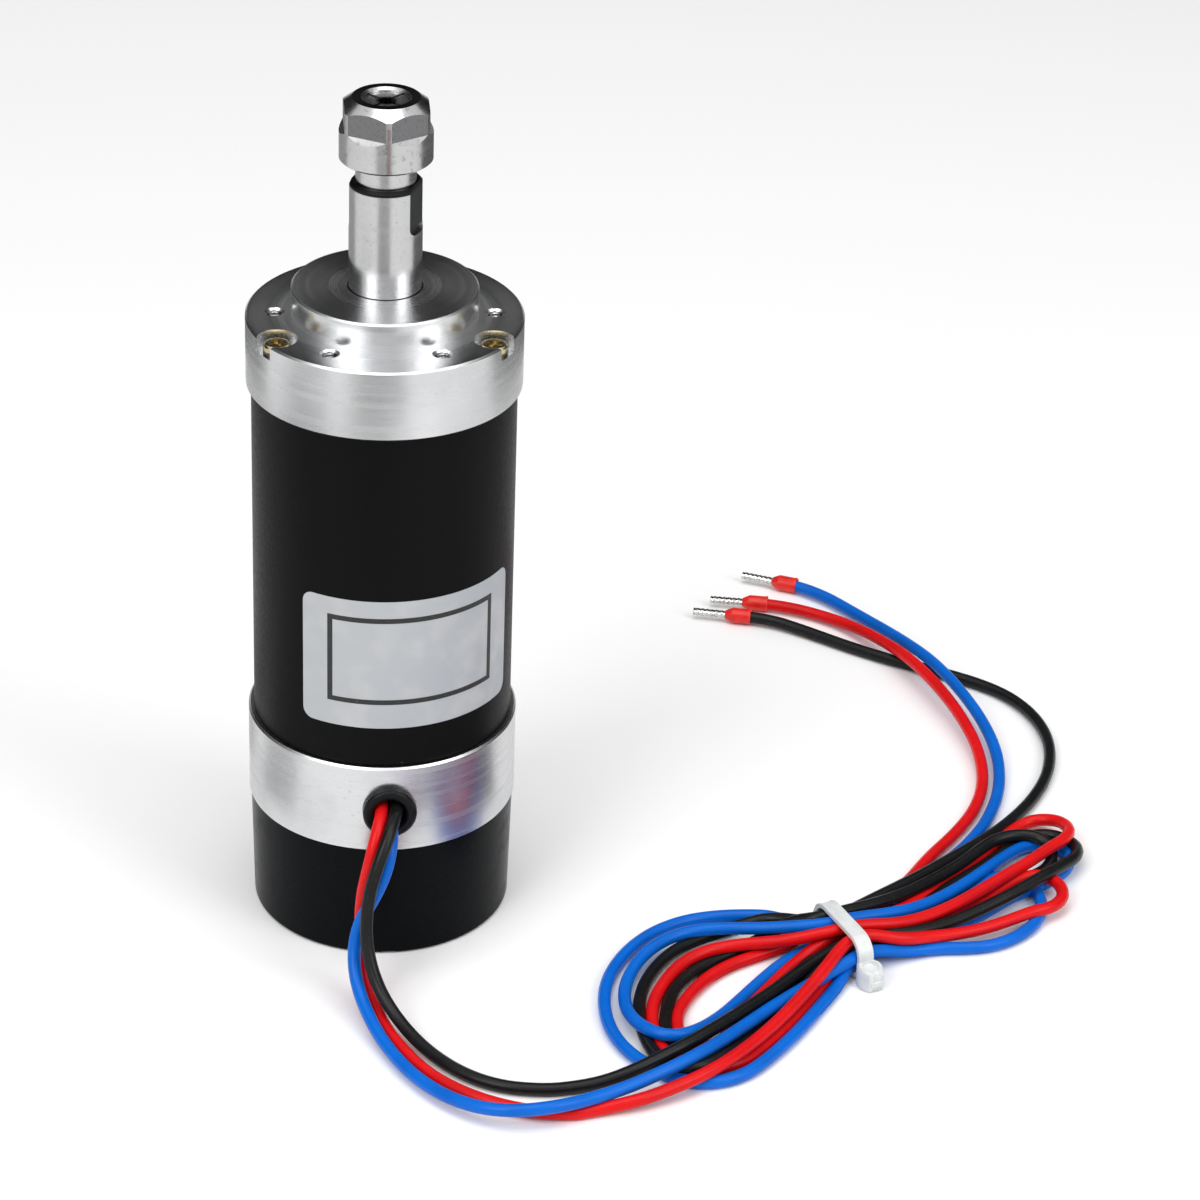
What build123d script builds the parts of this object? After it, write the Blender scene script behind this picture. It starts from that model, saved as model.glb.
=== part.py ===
"""Brushless motor spindle with an ER11 collet nose and three loose motor leads.

Millimetres. The spindle axis is the Z axis, the bottom of the rear cover is z = 0, and the
cable grommet faces -Y. Azimuths are in degrees from -Y towards +X.
"""

import os
from math import cos, pi, radians, sin, tan

from build123d import *

os.makedirs("parts", exist_ok=True)

# ---------------------------------------------------------------- driving dimensions
# fits, as radial clearances
seat_clearance = 0.02          # a piece pressed or bolted into its seat
running_clearance = 0.05       # a shaft turning in a hole
thread_clearance = 0.05        # a plain cylinder that stands for a thread in its hole
cut_margin = 1.0               # how far a cut runs past the surface that it opens

# motor tube
tube_outer_radius = 27.5
tube_wall = 4.5
tube_length = 76.6
tube_edge_chamfer = 0.3

# rear cover, a moulded cup
cover_height = 26.7
cover_step = 0.35              # the cover's rim inside the rear ring's rim
cover_taper = 0.6              # how much smaller its base is than its rim
cover_wall = 2.5
cover_floor = 3.0
cover_base_fillet = 0.8
cover_notch_width = 3.0
cover_notch_height = 0.6
cover_notch_depth = 1.2

# rear ring: the aluminium end bell with the cable outlet
ring_overhang = 1.2            # beyond the motor tube
ring_height = 20.5
ring_cavity_radius = 21.8
ring_web_height = 5.0
ring_spigot_height = 6.2
cover_spigot_height = 3.7
cable_window_radius = 17.6
cable_window_size = 5.4
cable_window_count = 3

# front flange
flange_overhang = 1.05         # beyond the motor tube
flange_thickness = 15.2
flange_spigot_height = 4.8
flange_chamfer = 0.4
boss_radius = 19.2
boss_height = 6.1
boss_chamfer = 0.35
boss_bore_radius = 7.8
pattern_turn = -2.5            # the flange is bolted on this far off the cable outlet's azimuth

# mounting holes, core of the M4 thread
mount_circle_radius = 22.5
mount_hole_radius = 1.65
mount_hole_depth = 9.0
mount_hole_countersink = 2.05
mount_hole_count = 6

# screws: (shank radius, head radius, head height)
screw_count = 3
ring_screw_azimuth = 60.0
flange_screw_azimuth = ring_screw_azimuth + pattern_turn
cover_screw_azimuth = 30.0
flange_screw_radius = 1.5
flange_screw_head_radius = 2.85
flange_screw_head_height = 2.2
flange_screw_length = 20.0
counterbore_radius = 4.2
counterbore_depth = 3.1
recess_width = 0.8
recess_depth = 1.1
recess_share = 1.25            # length of a cross slot over the head radius
ring_counterbore_depth = 6.3
ring_counterbore_radius = 3.1
cover_screw_inset = 1.45       # screw axis inside the cover's wall
cover_screw_radius = 1.25
cover_screw_head_radius = 2.3
cover_screw_head_height = 1.6
cover_screw_length = 27.0
cover_screw_recess_radius = 2.6
cover_screw_recess_depth = 2.0
cover_post_radius = 2.7
screw_end_space = 1.0          # open hole beyond a cover screw's tip

# spindle shaft
journal_radius = 7.5
shaft_stickout = 23.5          # boss face to the shoulder under the nut
shoulder_chamfer = 0.6
neck_radius = 6.2
neck_length = 4.8
nose_thread_radius = 6.8
nose_thread_length = 7.6
shaft_collar_radius = 9.2
shaft_collar_length = 8.0
rear_journal_radius = 5.0
rear_journal_length = 13.0
flat_half_width = 6.5          # half of the 13 mm across the wrench flats
flat_length = 10.4
flat_corner_radius = 1.6
flat_azimuth = 67.0
draw_bore_radius = 3.2
draw_bore_depth = 34.0
collet_end_relief = 1.0        # open space behind the seated collet
shaft_tail = 1.0               # shaft beyond the rear bearing

# ER11 collet
collet_length = 18.0
collet_big_radius = 5.75
collet_taper = 8.0
collet_bore_radius = 1.5875
collet_face_radius = 4.5
collet_cone_radius = 5.3
collet_cone_length = 1.4
collet_groove_radius = 4.75
collet_groove_length = 1.6
collet_slot_count = 4
collet_front_slot_width = 0.7
collet_rear_slot_width = 0.35
collet_slot_share = 0.78       # how much of the length a slot cuts
collet_recess = 0.9            # collet face below the nut face

# collet nut
nut_radius = 9.5
nut_height = 13.3
nut_half_hex = 8.5
nut_face_radius = 6.9
nut_face_chamfer = 1.95
nut_skirt_height = 7.1
nut_ledge_drop = 1.1
nut_base_chamfer = 0.5
nut_mouth_radius = 4.65
nut_mouth_chamfer = 0.5
nut_lead_in = 0.5
nut_ring_radius = 5.0
nut_axial_play = 0.08
nut_thread_relief = 0.6        # open space above the nose's end face

# bearings: front pair 15x32x9, rear 10x26x8
front_bearing_outer = 16.0
front_bearing_width = 9.0
front_bearing_depth = 3.5      # below the boss face
front_outer_race_inner = 13.2
front_inner_race_outer = 10.0
rear_bearing_outer = 13.0
rear_bearing_width = 8.0
rear_outer_race_inner = 10.9
rear_inner_race_outer = 7.1
race_chamfer = 0.4
race_groove_share = 0.28       # ball radius over the bearing's radial width
seal_thickness = 0.8
seal_inset = 0.3
seal_gap = 0.1
spacer_length = 1.2
spacer_wall = 2.4
circlip_thickness = 1.2
circlip_depth = 0.85
circlip_radial = 3.0
circlip_gap_angle = 50.0
wave_washer_thickness = 0.8
bearing_lip = 2.2

# stator and rotor
stack_length = 50.0
coil_end_gap = 0.9             # between the rear ring and the coils
tooth_count = 9
tooth_width = 4.4
yoke_thickness = 2.6
air_gap = 0.6
tooth_tip_height = 1.6
slot_opening = 2.2
liner_thickness = 0.4
coil_side_gap = 0.79           # half of the gap between two coils
coil_yoke_gap = 0.78
coil_tip_gap = 0.8
coil_corner = 1.2
coil_clear = 0.15
coil_depth = 2.6
magnet_count = 6
magnet_thickness = 2.6
magnet_gap = 1.2

# grommet in the rear ring
grommet_height = 37.0
grommet_head_radius = 5.7
grommet_head_height = 2.1
grommet_hole_radius = 4.4
grommet_bore_radius = 3.4
grommet_lip_radius = 4.9
grommet_lip_thickness = 1.0
grommet_head_fillet = 0.9
grommet_mouth_fillet = 0.8

# leads, ferrules and tie
lead_radius = 1.4
collar_radius = 1.95
collar_length = 6.4
collar_cone_length = 1.8
collar_insert = 4.0
collar_approach = 4.0          # straight wire before the collar
collar_clearance = 0.05
pin_length = 8.0
pin_width = 1.9
pin_height = 1.6
ferrule_axis_height = 2.0
hank_height = 6.4
hank_waist_length = 26.0       # where the turns pile up to the tie's full height
tie_width = 3.6
tie_thickness = 1.2
tie_azimuth = 20.0             # from +X, along the tied bundle
tie_centre = (97.8, -33.8)
tie_inner_width = 18.6
tie_inner_height = 7.2
tie_low_corner = 1.8
tie_high_corner = 3.4
tie_head_size = (5.6, 6.2, 5.0)
tie_head_corner = 0.8
tie_clearance = 0.1

# ---------------------------------------------------------------- radii from the tube outwards
ring_radius = tube_outer_radius + ring_overhang
flange_radius = tube_outer_radius + flange_overhang
cover_top_radius = ring_radius - cover_step
cover_base_radius = cover_top_radius - cover_taper
tube_inner_radius = tube_outer_radius - tube_wall
flange_screw_circle = tube_outer_radius - tube_wall / 2
cover_screw_circle = cover_base_radius - cover_wall - cover_screw_inset
stack_radius = tube_inner_radius - seat_clearance
yoke_inner = stack_radius - yoke_thickness
coil_inner_radius = yoke_inner - coil_yoke_gap - coil_depth
coil_thickness = coil_inner_radius * tan(pi / tooth_count) - coil_side_gap - tooth_width / 2 - liner_thickness
stator_bore = coil_inner_radius - coil_tip_gap - tooth_tip_height
rotor_radius = stator_bore - air_gap

# ---------------------------------------------------------------- levels
cover_top = cover_height
ring_top = cover_top + ring_height
tube_top = ring_top + tube_length
flange_top = tube_top + flange_thickness
boss_top = flange_top + boss_height
shoulder_level = boss_top + shaft_stickout
neck_top = shoulder_level + neck_length
nose_top = neck_top + nose_thread_length
nut_base = shoulder_level + neck_length - nut_lead_in
nut_top = nut_base + nut_height
collet_top = nut_top - collet_recess
front_bearing_top = boss_top - front_bearing_depth
spacer_top = front_bearing_top - front_bearing_width
lower_bearing_top = spacer_top - spacer_length
lower_bearing_base = lower_bearing_top - front_bearing_width
web_base = ring_top - ring_web_height
rear_bearing_base = web_base + bearing_lip + wave_washer_thickness
spigot_top = ring_top + ring_spigot_height
stack_base = spigot_top + coil_end_gap + liner_thickness + coil_thickness
stack_top = stack_base + stack_length


def from_front(azimuth):
    """Polar angle, from +X, of an azimuth that is measured from -Y."""
    return azimuth - 90


def turned(outline, mode=Mode.ADD):
    """Turn a closed (radius, height) outline about the spindle axis."""
    with BuildSketch(Plane.XZ) as section:
        with BuildLine():
            Polyline(*outline, close=True)
        make_face()
    revolve(section.sketch, axis=Axis.Z, mode=mode)


def ring(inner, outer, base, top, mode=Mode.ADD):
    """A plain ring about the spindle axis."""
    turned([(inner, base), (outer, base), (outer, top), (inner, top)], mode)


def holes(radius, circle, azimuth, count, start, length, mode=Mode.SUBTRACT):
    """Round holes or pins on a circle, from the height start upwards."""
    with BuildSketch(Plane.XY.offset(start)) as pattern:
        with PolarLocations(circle, count, from_front(azimuth)):
            Circle(radius)
    extrude(pattern.sketch, amount=length, mode=mode)


def cross_recess(circle, azimuth, count, face, depth, head_radius):
    """Phillips recess in every head of a screw group; a negative depth cuts upwards."""
    with BuildSketch(Plane.XY.offset(face)) as pattern:
        with PolarLocations(circle, count, from_front(azimuth)):
            Rectangle(head_radius * recess_share, recess_width)
            Rectangle(recess_width, head_radius * recess_share)
    extrude(pattern.sketch, amount=-depth, mode=Mode.SUBTRACT)


def save(builder, name):
    """Label the finished piece and write it."""
    builder.part.label = name
    export_step(builder.part, f"parts/{name}.step")


# ---------------------------------------------------------------- rear cover
with BuildPart() as rear_cover:
    inner_base = cover_base_radius - cover_wall
    inner_top = cover_top_radius - cover_wall
    turned([
        (0, 0), (cover_base_radius, 0), (cover_top_radius, cover_height), (inner_top, cover_height),
        (inner_base, cover_floor), (0, cover_floor),
    ])
    fillet(rear_cover.edges().group_by(Axis.Z)[0], cover_base_fillet)
    post_height = cover_height - cover_spigot_height - cover_floor - seat_clearance
    holes(cover_post_radius, cover_screw_circle, cover_screw_azimuth, screw_count, cover_floor,
          post_height, Mode.ADD)
    holes(cover_screw_recess_radius, cover_screw_circle, cover_screw_azimuth, screw_count, 0,
          cover_screw_recess_depth)
    holes(cover_screw_radius + thread_clearance, cover_screw_circle, cover_screw_azimuth, screw_count,
          0, cover_height)
    with BuildSketch(Plane.XY) as notch:
        with Locations((0, -cover_base_radius)):
            Rectangle(cover_notch_width, 2 * cover_notch_depth)
    extrude(amount=cover_notch_height, mode=Mode.SUBTRACT)
save(rear_cover, "rear_cover")

# ---------------------------------------------------------------- rear ring
cover_spigot_radius = cover_top_radius - cover_wall - seat_clearance \
    - (cover_top_radius - cover_base_radius) * cover_spigot_height / cover_height
tube_spigot_radius = tube_inner_radius - seat_clearance
spigot_base = cover_top - cover_spigot_height

with BuildPart() as rear_ring:
    turned([
        (ring_cavity_radius, spigot_base), (cover_spigot_radius, spigot_base),
        (cover_spigot_radius, cover_top), (ring_radius - flange_chamfer, cover_top),
        (ring_radius, cover_top + flange_chamfer), (ring_radius, ring_top - flange_chamfer),
        (ring_radius - flange_chamfer, ring_top), (tube_spigot_radius, ring_top),
        (tube_spigot_radius, spigot_top), (rear_bearing_outer + seat_clearance, spigot_top),
        (rear_bearing_outer + seat_clearance, web_base + bearing_lip),
        (rear_bearing_outer - bearing_lip, web_base + bearing_lip),
        (rear_bearing_outer - bearing_lip, web_base), (ring_cavity_radius, web_base),
    ])
    with BuildSketch(Plane.XY.offset(web_base)) as windows:
        with PolarLocations(cable_window_radius, cable_window_count, from_front(0)):
            SlotCenterToCenter(cable_window_size, cable_window_size, rotation=90)
    extrude(amount=spigot_top - web_base, mode=Mode.SUBTRACT)
    holes(ring_counterbore_radius, flange_screw_circle, ring_screw_azimuth, screw_count, spigot_base,
          ring_counterbore_depth + cover_spigot_height)
    holes(flange_screw_radius + thread_clearance, flange_screw_circle, ring_screw_azimuth, screw_count,
          spigot_base, ring_height + cover_spigot_height)
    holes(cover_screw_radius + thread_clearance, cover_screw_circle, cover_screw_azimuth, screw_count,
          spigot_base, cover_screw_length + cover_screw_recess_depth - spigot_base + screw_end_space)
    with BuildSketch(Plane.XZ) as outlet:
        with Locations((0, grommet_height)):
            Circle(grommet_hole_radius)
    extrude(amount=ring_radius + cut_margin, mode=Mode.SUBTRACT)
save(rear_ring, "rear_ring")

# ---------------------------------------------------------------- grommet
with BuildPart() as lead_grommet:
    with BuildSketch(Plane.XZ.offset(ring_radius - grommet_head_height)) as head:
        with Locations((0, grommet_height)):
            Circle(grommet_head_radius)
    extrude(amount=2 * grommet_head_height)
    fillet(lead_grommet.edges().group_by(Axis.Y)[0], grommet_head_fillet)
    ring(0, ring_radius + seat_clearance, grommet_height - 2 * grommet_head_radius,
         grommet_height + 2 * grommet_head_radius, Mode.SUBTRACT)
    lip_back = (ring_cavity_radius ** 2 - grommet_lip_radius ** 2) ** 0.5 - grommet_lip_thickness
    with BuildSketch(Plane.XZ.offset(lip_back)) as shank:
        with Locations((0, grommet_height)):
            Circle(grommet_hole_radius - seat_clearance)
    extrude(amount=ring_radius + grommet_head_height / 2 - lip_back)
    with BuildSketch(Plane.XZ.offset(lip_back)) as lip:
        with Locations((0, grommet_height)):
            Circle(grommet_lip_radius)
    extrude(amount=grommet_lip_thickness - seat_clearance)
    with BuildSketch(Plane.XZ) as bore:
        with Locations((0, grommet_height)):
            Circle(grommet_bore_radius)
    extrude(amount=ring_radius + 2 * grommet_head_height, mode=Mode.SUBTRACT)
    front_edges = lead_grommet.faces().sort_by(Axis.Y)[0].inner_wires()[0].edges()
    fillet(front_edges, grommet_mouth_fillet)
save(lead_grommet, "lead_grommet")

# ---------------------------------------------------------------- motor tube
flange_seat = flange_top - counterbore_depth
ring_seat = spigot_base + ring_counterbore_depth + cover_spigot_height
flange_thread_depth = flange_screw_length - (flange_seat - tube_top) + 1
ring_thread_depth = flange_screw_length - (ring_top - ring_seat) + 1
tapped_radius = flange_screw_radius + thread_clearance

with BuildPart() as motor_tube:
    ring(tube_inner_radius, tube_outer_radius, ring_top, tube_top)
    rims = motor_tube.edges().filter_by(GeomType.CIRCLE).sort_by(SortBy.RADIUS)[-2:]
    chamfer(rims, tube_edge_chamfer)
    holes(tapped_radius, flange_screw_circle, flange_screw_azimuth, screw_count,
          tube_top - flange_thread_depth, flange_thread_depth)
    holes(tapped_radius, flange_screw_circle, ring_screw_azimuth, screw_count, ring_top, ring_thread_depth)
save(motor_tube, "motor_tube")

# ---------------------------------------------------------------- front flange
circlip_top = lower_bearing_base
circlip_base = circlip_top - circlip_thickness
flange_spigot_base = tube_top - flange_spigot_height
bearing_seat_radius = front_bearing_outer + seat_clearance

with BuildPart() as front_flange:
    turned([
        (bearing_seat_radius, flange_spigot_base), (tube_spigot_radius, flange_spigot_base),
        (tube_spigot_radius, tube_top), (flange_radius - flange_chamfer, tube_top),
        (flange_radius, tube_top + flange_chamfer), (flange_radius, flange_top - flange_chamfer),
        (flange_radius - flange_chamfer, flange_top), (boss_radius, flange_top),
        (boss_radius, boss_top - boss_chamfer), (boss_radius - boss_chamfer, boss_top),
        (boss_bore_radius, boss_top), (boss_bore_radius, front_bearing_top),
        (bearing_seat_radius, front_bearing_top),
    ])
    ring(bearing_seat_radius - 1, bearing_seat_radius + circlip_depth,
         circlip_base - seat_clearance, circlip_top, Mode.SUBTRACT)
    with Locations(Plane.XY.offset(flange_top)):
        with PolarLocations(mount_circle_radius, mount_hole_count, from_front(30.0 + pattern_turn)):
            CounterSinkHole(mount_hole_radius, mount_hole_countersink, mount_hole_depth)
    holes(counterbore_radius, flange_screw_circle, flange_screw_azimuth, screw_count,
          flange_seat, counterbore_depth)
    holes(tapped_radius, flange_screw_circle, flange_screw_azimuth, screw_count,
          tube_top, flange_thickness)
save(front_flange, "front_flange")


# ---------------------------------------------------------------- screws
def pan_screws(name, circle, azimuth, shank, head, head_height, seat, length, way):
    """Three pan-head screws; way is +1 with the heads up and -1 with the heads down."""
    with BuildPart() as screws:
        holes(head, circle, azimuth, screw_count, seat, way * head_height, Mode.ADD)
        crown = screws.edges().group_by(Axis.Z)[-1 if way > 0 else 0]
        fillet(crown, head_height / 3)
        holes(shank, circle, azimuth, screw_count, seat, -way * length, Mode.ADD)
        cross_recess(circle, azimuth, screw_count, seat + way * head_height, way * recess_depth, head)
    save(screws, name)


pan_screws("flange_screws", flange_screw_circle, flange_screw_azimuth, flange_screw_radius,
           flange_screw_head_radius, flange_screw_head_height, flange_seat, flange_screw_length, 1)
pan_screws("ring_screws", flange_screw_circle, ring_screw_azimuth, flange_screw_radius,
           flange_screw_head_radius, flange_screw_head_height, ring_seat, flange_screw_length, -1)
pan_screws("cover_screws", cover_screw_circle, cover_screw_azimuth, cover_screw_radius,
           cover_screw_head_radius, cover_screw_head_height, cover_screw_recess_depth,
           cover_screw_length, -1)

# ---------------------------------------------------------------- collet
collet_cone_base = collet_top - collet_cone_length
collet_big_level = collet_cone_base - collet_groove_length
collet_base = collet_top - collet_length
collet_small_radius = collet_big_radius - (collet_big_level - collet_base) * tan(radians(collet_taper))

with BuildPart() as collet:
    turned([
        (collet_bore_radius, collet_base), (collet_small_radius, collet_base),
        (collet_big_radius, collet_big_level), (collet_groove_radius, collet_big_level),
        (collet_groove_radius, collet_cone_base), (collet_cone_radius, collet_cone_base),
        (collet_face_radius, collet_top), (collet_bore_radius, collet_top),
    ])
    slot_length = collet_length * collet_slot_share
    for start, turn, width in (
        (collet_top - slot_length, 45, collet_front_slot_width),
        (collet_base, 0, collet_rear_slot_width),
    ):
        with BuildSketch(Plane.XY.offset(start)) as slots:
            with PolarLocations(collet_big_radius, collet_slot_count, from_front(turn)):
                Rectangle(2 * collet_big_radius - collet_bore_radius, width)
        extrude(amount=slot_length, mode=Mode.SUBTRACT)
save(collet, "collet")

# ---------------------------------------------------------------- spindle shaft
shaft_collar_top = lower_bearing_base
shaft_base = rear_bearing_base - shaft_tail
rear_journal_top = shaft_base + rear_journal_length


def seat_radius(level):
    """Radius of the collet seat in the nose, at a height."""
    return collet_big_radius - (collet_big_level - level) * tan(radians(collet_taper)) + seat_clearance


with BuildPart() as spindle_shaft:
    turned([
        (0, shaft_base), (rear_journal_radius, shaft_base), (rear_journal_radius, rear_journal_top),
        (journal_radius, rear_journal_top), (journal_radius, shaft_collar_top - shaft_collar_length),
        (shaft_collar_radius, shaft_collar_top - shaft_collar_length),
        (shaft_collar_radius, shaft_collar_top), (journal_radius, shaft_collar_top),
        (journal_radius, shoulder_level - shoulder_chamfer),
        (journal_radius - shoulder_chamfer, shoulder_level), (neck_radius, shoulder_level),
        (neck_radius, neck_top), (nose_thread_radius, neck_top), (nose_thread_radius, nose_top),
        (0, nose_top),
    ])
    relief_base = collet_base - collet_end_relief
    turned([
        (0, nose_top - draw_bore_depth), (draw_bore_radius, nose_top - draw_bore_depth),
        (draw_bore_radius, relief_base), (seat_radius(collet_base), relief_base),
        (seat_radius(collet_base), collet_base), (seat_radius(nose_top), nose_top), (0, nose_top),
    ], Mode.SUBTRACT)
    for side in (0, 180):
        direction = radians(from_front(flat_azimuth + side))
        flat_plane = Plane(origin=(0, 0, shoulder_level), x_dir=(-sin(direction), cos(direction), 0),
                           z_dir=(cos(direction), sin(direction), 0))
        chord = 2 * (journal_radius ** 2 - flat_half_width ** 2) ** 0.5
        with BuildSketch(flat_plane.offset(flat_half_width)) as flat:
            RectangleRounded(chord, 2 * flat_length, flat_corner_radius)
        extrude(amount=journal_radius, mode=Mode.SUBTRACT)
save(spindle_shaft, "spindle_shaft")

# ---------------------------------------------------------------- collet nut
ring_lip_base = collet_big_level + nut_axial_play
ring_lip_top = collet_cone_base - nut_axial_play
cone_slope = (collet_cone_radius - collet_face_radius) / collet_cone_length
mouth_level = collet_cone_base + (collet_cone_radius + running_clearance - nut_mouth_radius) / cone_slope
ledge_level = nut_base + nut_skirt_height

with BuildPart() as collet_nut:
    thread_wall = nose_thread_radius + thread_clearance
    relief_wall = collet_big_radius + 3 * running_clearance
    relief_top = nose_top + nut_thread_relief
    cone_wall = collet_cone_radius + running_clearance
    turned([
        (thread_wall + nut_lead_in, nut_base), (nut_radius - nut_base_chamfer, nut_base),
        (nut_radius, nut_base + nut_base_chamfer), (nut_radius, nut_top - nut_face_chamfer),
        (nut_face_radius, nut_top), (nut_mouth_radius + nut_mouth_chamfer, nut_top),
        (nut_mouth_radius, nut_top - nut_mouth_chamfer), (nut_mouth_radius, mouth_level),
        (cone_wall, collet_cone_base), (cone_wall, ring_lip_top), (nut_ring_radius, ring_lip_top),
        (nut_ring_radius, ring_lip_base), (relief_wall, ring_lip_base), (relief_wall, relief_top),
        (thread_wall, relief_top), (thread_wall, nut_base + nut_lead_in),
    ])
    for side in range(6):
        direction = radians(from_front(30 + 60 * side))
        side_plane = Plane(origin=(0, 0, 0), x_dir=(cos(direction), sin(direction), 0),
                           z_dir=(sin(direction), -cos(direction), 0))
        with BuildSketch(side_plane.offset(-nut_radius)) as side_cut:
            with BuildLine():
                reach = nut_radius + nut_ledge_drop
                Polyline((nut_half_hex, ledge_level), (reach, ledge_level - (reach - nut_half_hex)),
                         (reach, nut_top + cut_margin), (nut_half_hex, nut_top + cut_margin), close=True)
            make_face()
        extrude(amount=2 * nut_radius, mode=Mode.SUBTRACT)
save(collet_nut, "collet_nut")


# ---------------------------------------------------------------- bearings
def bearing(name, bore, outer, race_inner, race_outer, base, width):
    """Sealed ball bearing as its outer ring, inner ring and pair of seals."""
    top = base + width
    middle = base + width / 2
    groove = (outer - bore) * race_groove_share
    pitch = (race_inner + race_outer) / 2
    with BuildPart() as outer_ring:
        turned([
            (race_inner, base), (outer - race_chamfer, base), (outer, base + race_chamfer),
            (outer, top - race_chamfer), (outer - race_chamfer, top), (race_inner, top),
        ])
        with BuildSketch(Plane.XZ) as track:
            with Locations((pitch, middle)):
                Circle(groove)
        revolve(axis=Axis.Z, mode=Mode.SUBTRACT)
    save(outer_ring, f"{name}_outer_ring")
    with BuildPart() as inner_ring:
        turned([
            (bore + race_chamfer, base), (race_outer, base), (race_outer, top), (bore + race_chamfer, top),
            (bore, top - race_chamfer), (bore, base + race_chamfer),
        ])
        with BuildSketch(Plane.XZ) as track:
            with Locations((pitch, middle)):
                Circle(groove)
        revolve(axis=Axis.Z, mode=Mode.SUBTRACT)
    save(inner_ring, f"{name}_inner_ring")
    with BuildPart() as seals:
        for level in (base + seal_inset, top - seal_inset - seal_thickness):
            ring(race_outer + seal_gap, race_inner, level, level + seal_thickness)
    save(seals, f"{name}_seals")


front_bore = journal_radius + seat_clearance / 2
rear_bore = rear_journal_radius + seat_clearance / 2
bearing("front_bearing_upper", front_bore, front_bearing_outer, front_outer_race_inner,
        front_inner_race_outer, spacer_top, front_bearing_width)
bearing("front_bearing_lower", front_bore, front_bearing_outer, front_outer_race_inner,
        front_inner_race_outer, lower_bearing_base, front_bearing_width)
bearing("rear_bearing", rear_bore, rear_bearing_outer, rear_outer_race_inner,
        rear_inner_race_outer, rear_bearing_base, rear_bearing_width)

with BuildPart() as bearing_spacer:
    ring(front_bearing_outer - spacer_wall, front_bearing_outer, lower_bearing_top, spacer_top)
save(bearing_spacer, "bearing_spacer")

with BuildPart() as preload_washer:
    ring(rear_outer_race_inner, rear_bearing_outer, web_base + bearing_lip, rear_bearing_base)
save(preload_washer, "preload_washer")

with BuildPart() as retaining_ring:
    circlip_outer = bearing_seat_radius + circlip_depth - seat_clearance
    with BuildSketch(Plane.XY.offset(circlip_base)) as circlip:
        Circle(circlip_outer)
        Circle(circlip_outer - circlip_radial, mode=Mode.SUBTRACT)
        half_gap = radians(circlip_gap_angle / 2)
        with BuildLine():
            Polyline((0, 0), (2 * circlip_outer * sin(half_gap), -2 * circlip_outer * cos(half_gap)),
                     (-2 * circlip_outer * sin(half_gap), -2 * circlip_outer * cos(half_gap)), close=True)
        make_face(mode=Mode.SUBTRACT)
    extrude(amount=circlip_thickness)
save(retaining_ring, "retaining_ring")

# ---------------------------------------------------------------- stator
with BuildPart() as stator_core:
    with BuildSketch(Plane.XY.offset(stack_base)) as lamination:
        Circle(stack_radius)
        Circle(yoke_inner, mode=Mode.SUBTRACT)
        tooth_inner = stator_bore + tooth_tip_height / 2
        tooth_outer = stack_radius - yoke_thickness / 2
        with PolarLocations((tooth_inner + tooth_outer) / 2, tooth_count, from_front(0)):
            Rectangle(tooth_outer - tooth_inner, tooth_width)
        with BuildSketch(mode=Mode.PRIVATE) as tips:
            Circle(stator_bore + tooth_tip_height)
            Circle(stator_bore, mode=Mode.SUBTRACT)
            with PolarLocations(stator_bore, tooth_count, from_front(180 / tooth_count)):
                Rectangle(3 * tooth_tip_height, slot_opening, mode=Mode.SUBTRACT)
        add(tips.sketch)
    extrude(amount=stack_length)
save(stator_core, "stator_core")

liner_half = tooth_width / 2 + liner_thickness
coil_half = liner_half + coil_thickness


def tooth_frames(name, inner_half, outer_half, start, depth, corner):
    """Rectangular frames round the teeth: the paper liners or the coils."""
    with BuildPart() as frames:
        for index in range(tooth_count):
            direction = radians(from_front(360 / tooth_count * index))
            tooth_plane = Plane(origin=(0, 0, stack_base + stack_length / 2),
                                x_dir=(-sin(direction), cos(direction), 0),
                                z_dir=(cos(direction), sin(direction), 0))
            end_reach = stack_length / 2 - tooth_width / 2
            with BuildSketch(tooth_plane.offset(start)) as frame:
                RectangleRounded(2 * outer_half, 2 * (end_reach + outer_half), corner)
                Rectangle(2 * inner_half, 2 * (end_reach + inner_half), mode=Mode.SUBTRACT)
            extrude(amount=depth)
    save(frames, name)


tooth_frames("tooth_liners", tooth_width / 2 + seat_clearance, liner_half, coil_inner_radius,
             coil_depth, liner_thickness)
tooth_frames("stator_coils", liner_half + coil_clear, coil_half, coil_inner_radius, coil_depth, coil_corner)

# ---------------------------------------------------------------- rotor
with BuildPart() as rotor_core:
    ring(journal_radius + seat_clearance, rotor_radius - magnet_thickness, stack_base, stack_top)
save(rotor_core, "rotor_core")

with BuildPart() as rotor_magnets:
    with BuildSketch(Plane.XY.offset(stack_base)) as magnets:
        Circle(rotor_radius)
        Circle(rotor_radius - magnet_thickness + seat_clearance, mode=Mode.SUBTRACT)
        with PolarLocations(rotor_radius, magnet_count, from_front(0)):
            Rectangle(3 * magnet_thickness, magnet_gap, mode=Mode.SUBTRACT)
    extrude(amount=stack_length)
save(rotor_magnets, "rotor_magnets")

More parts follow.
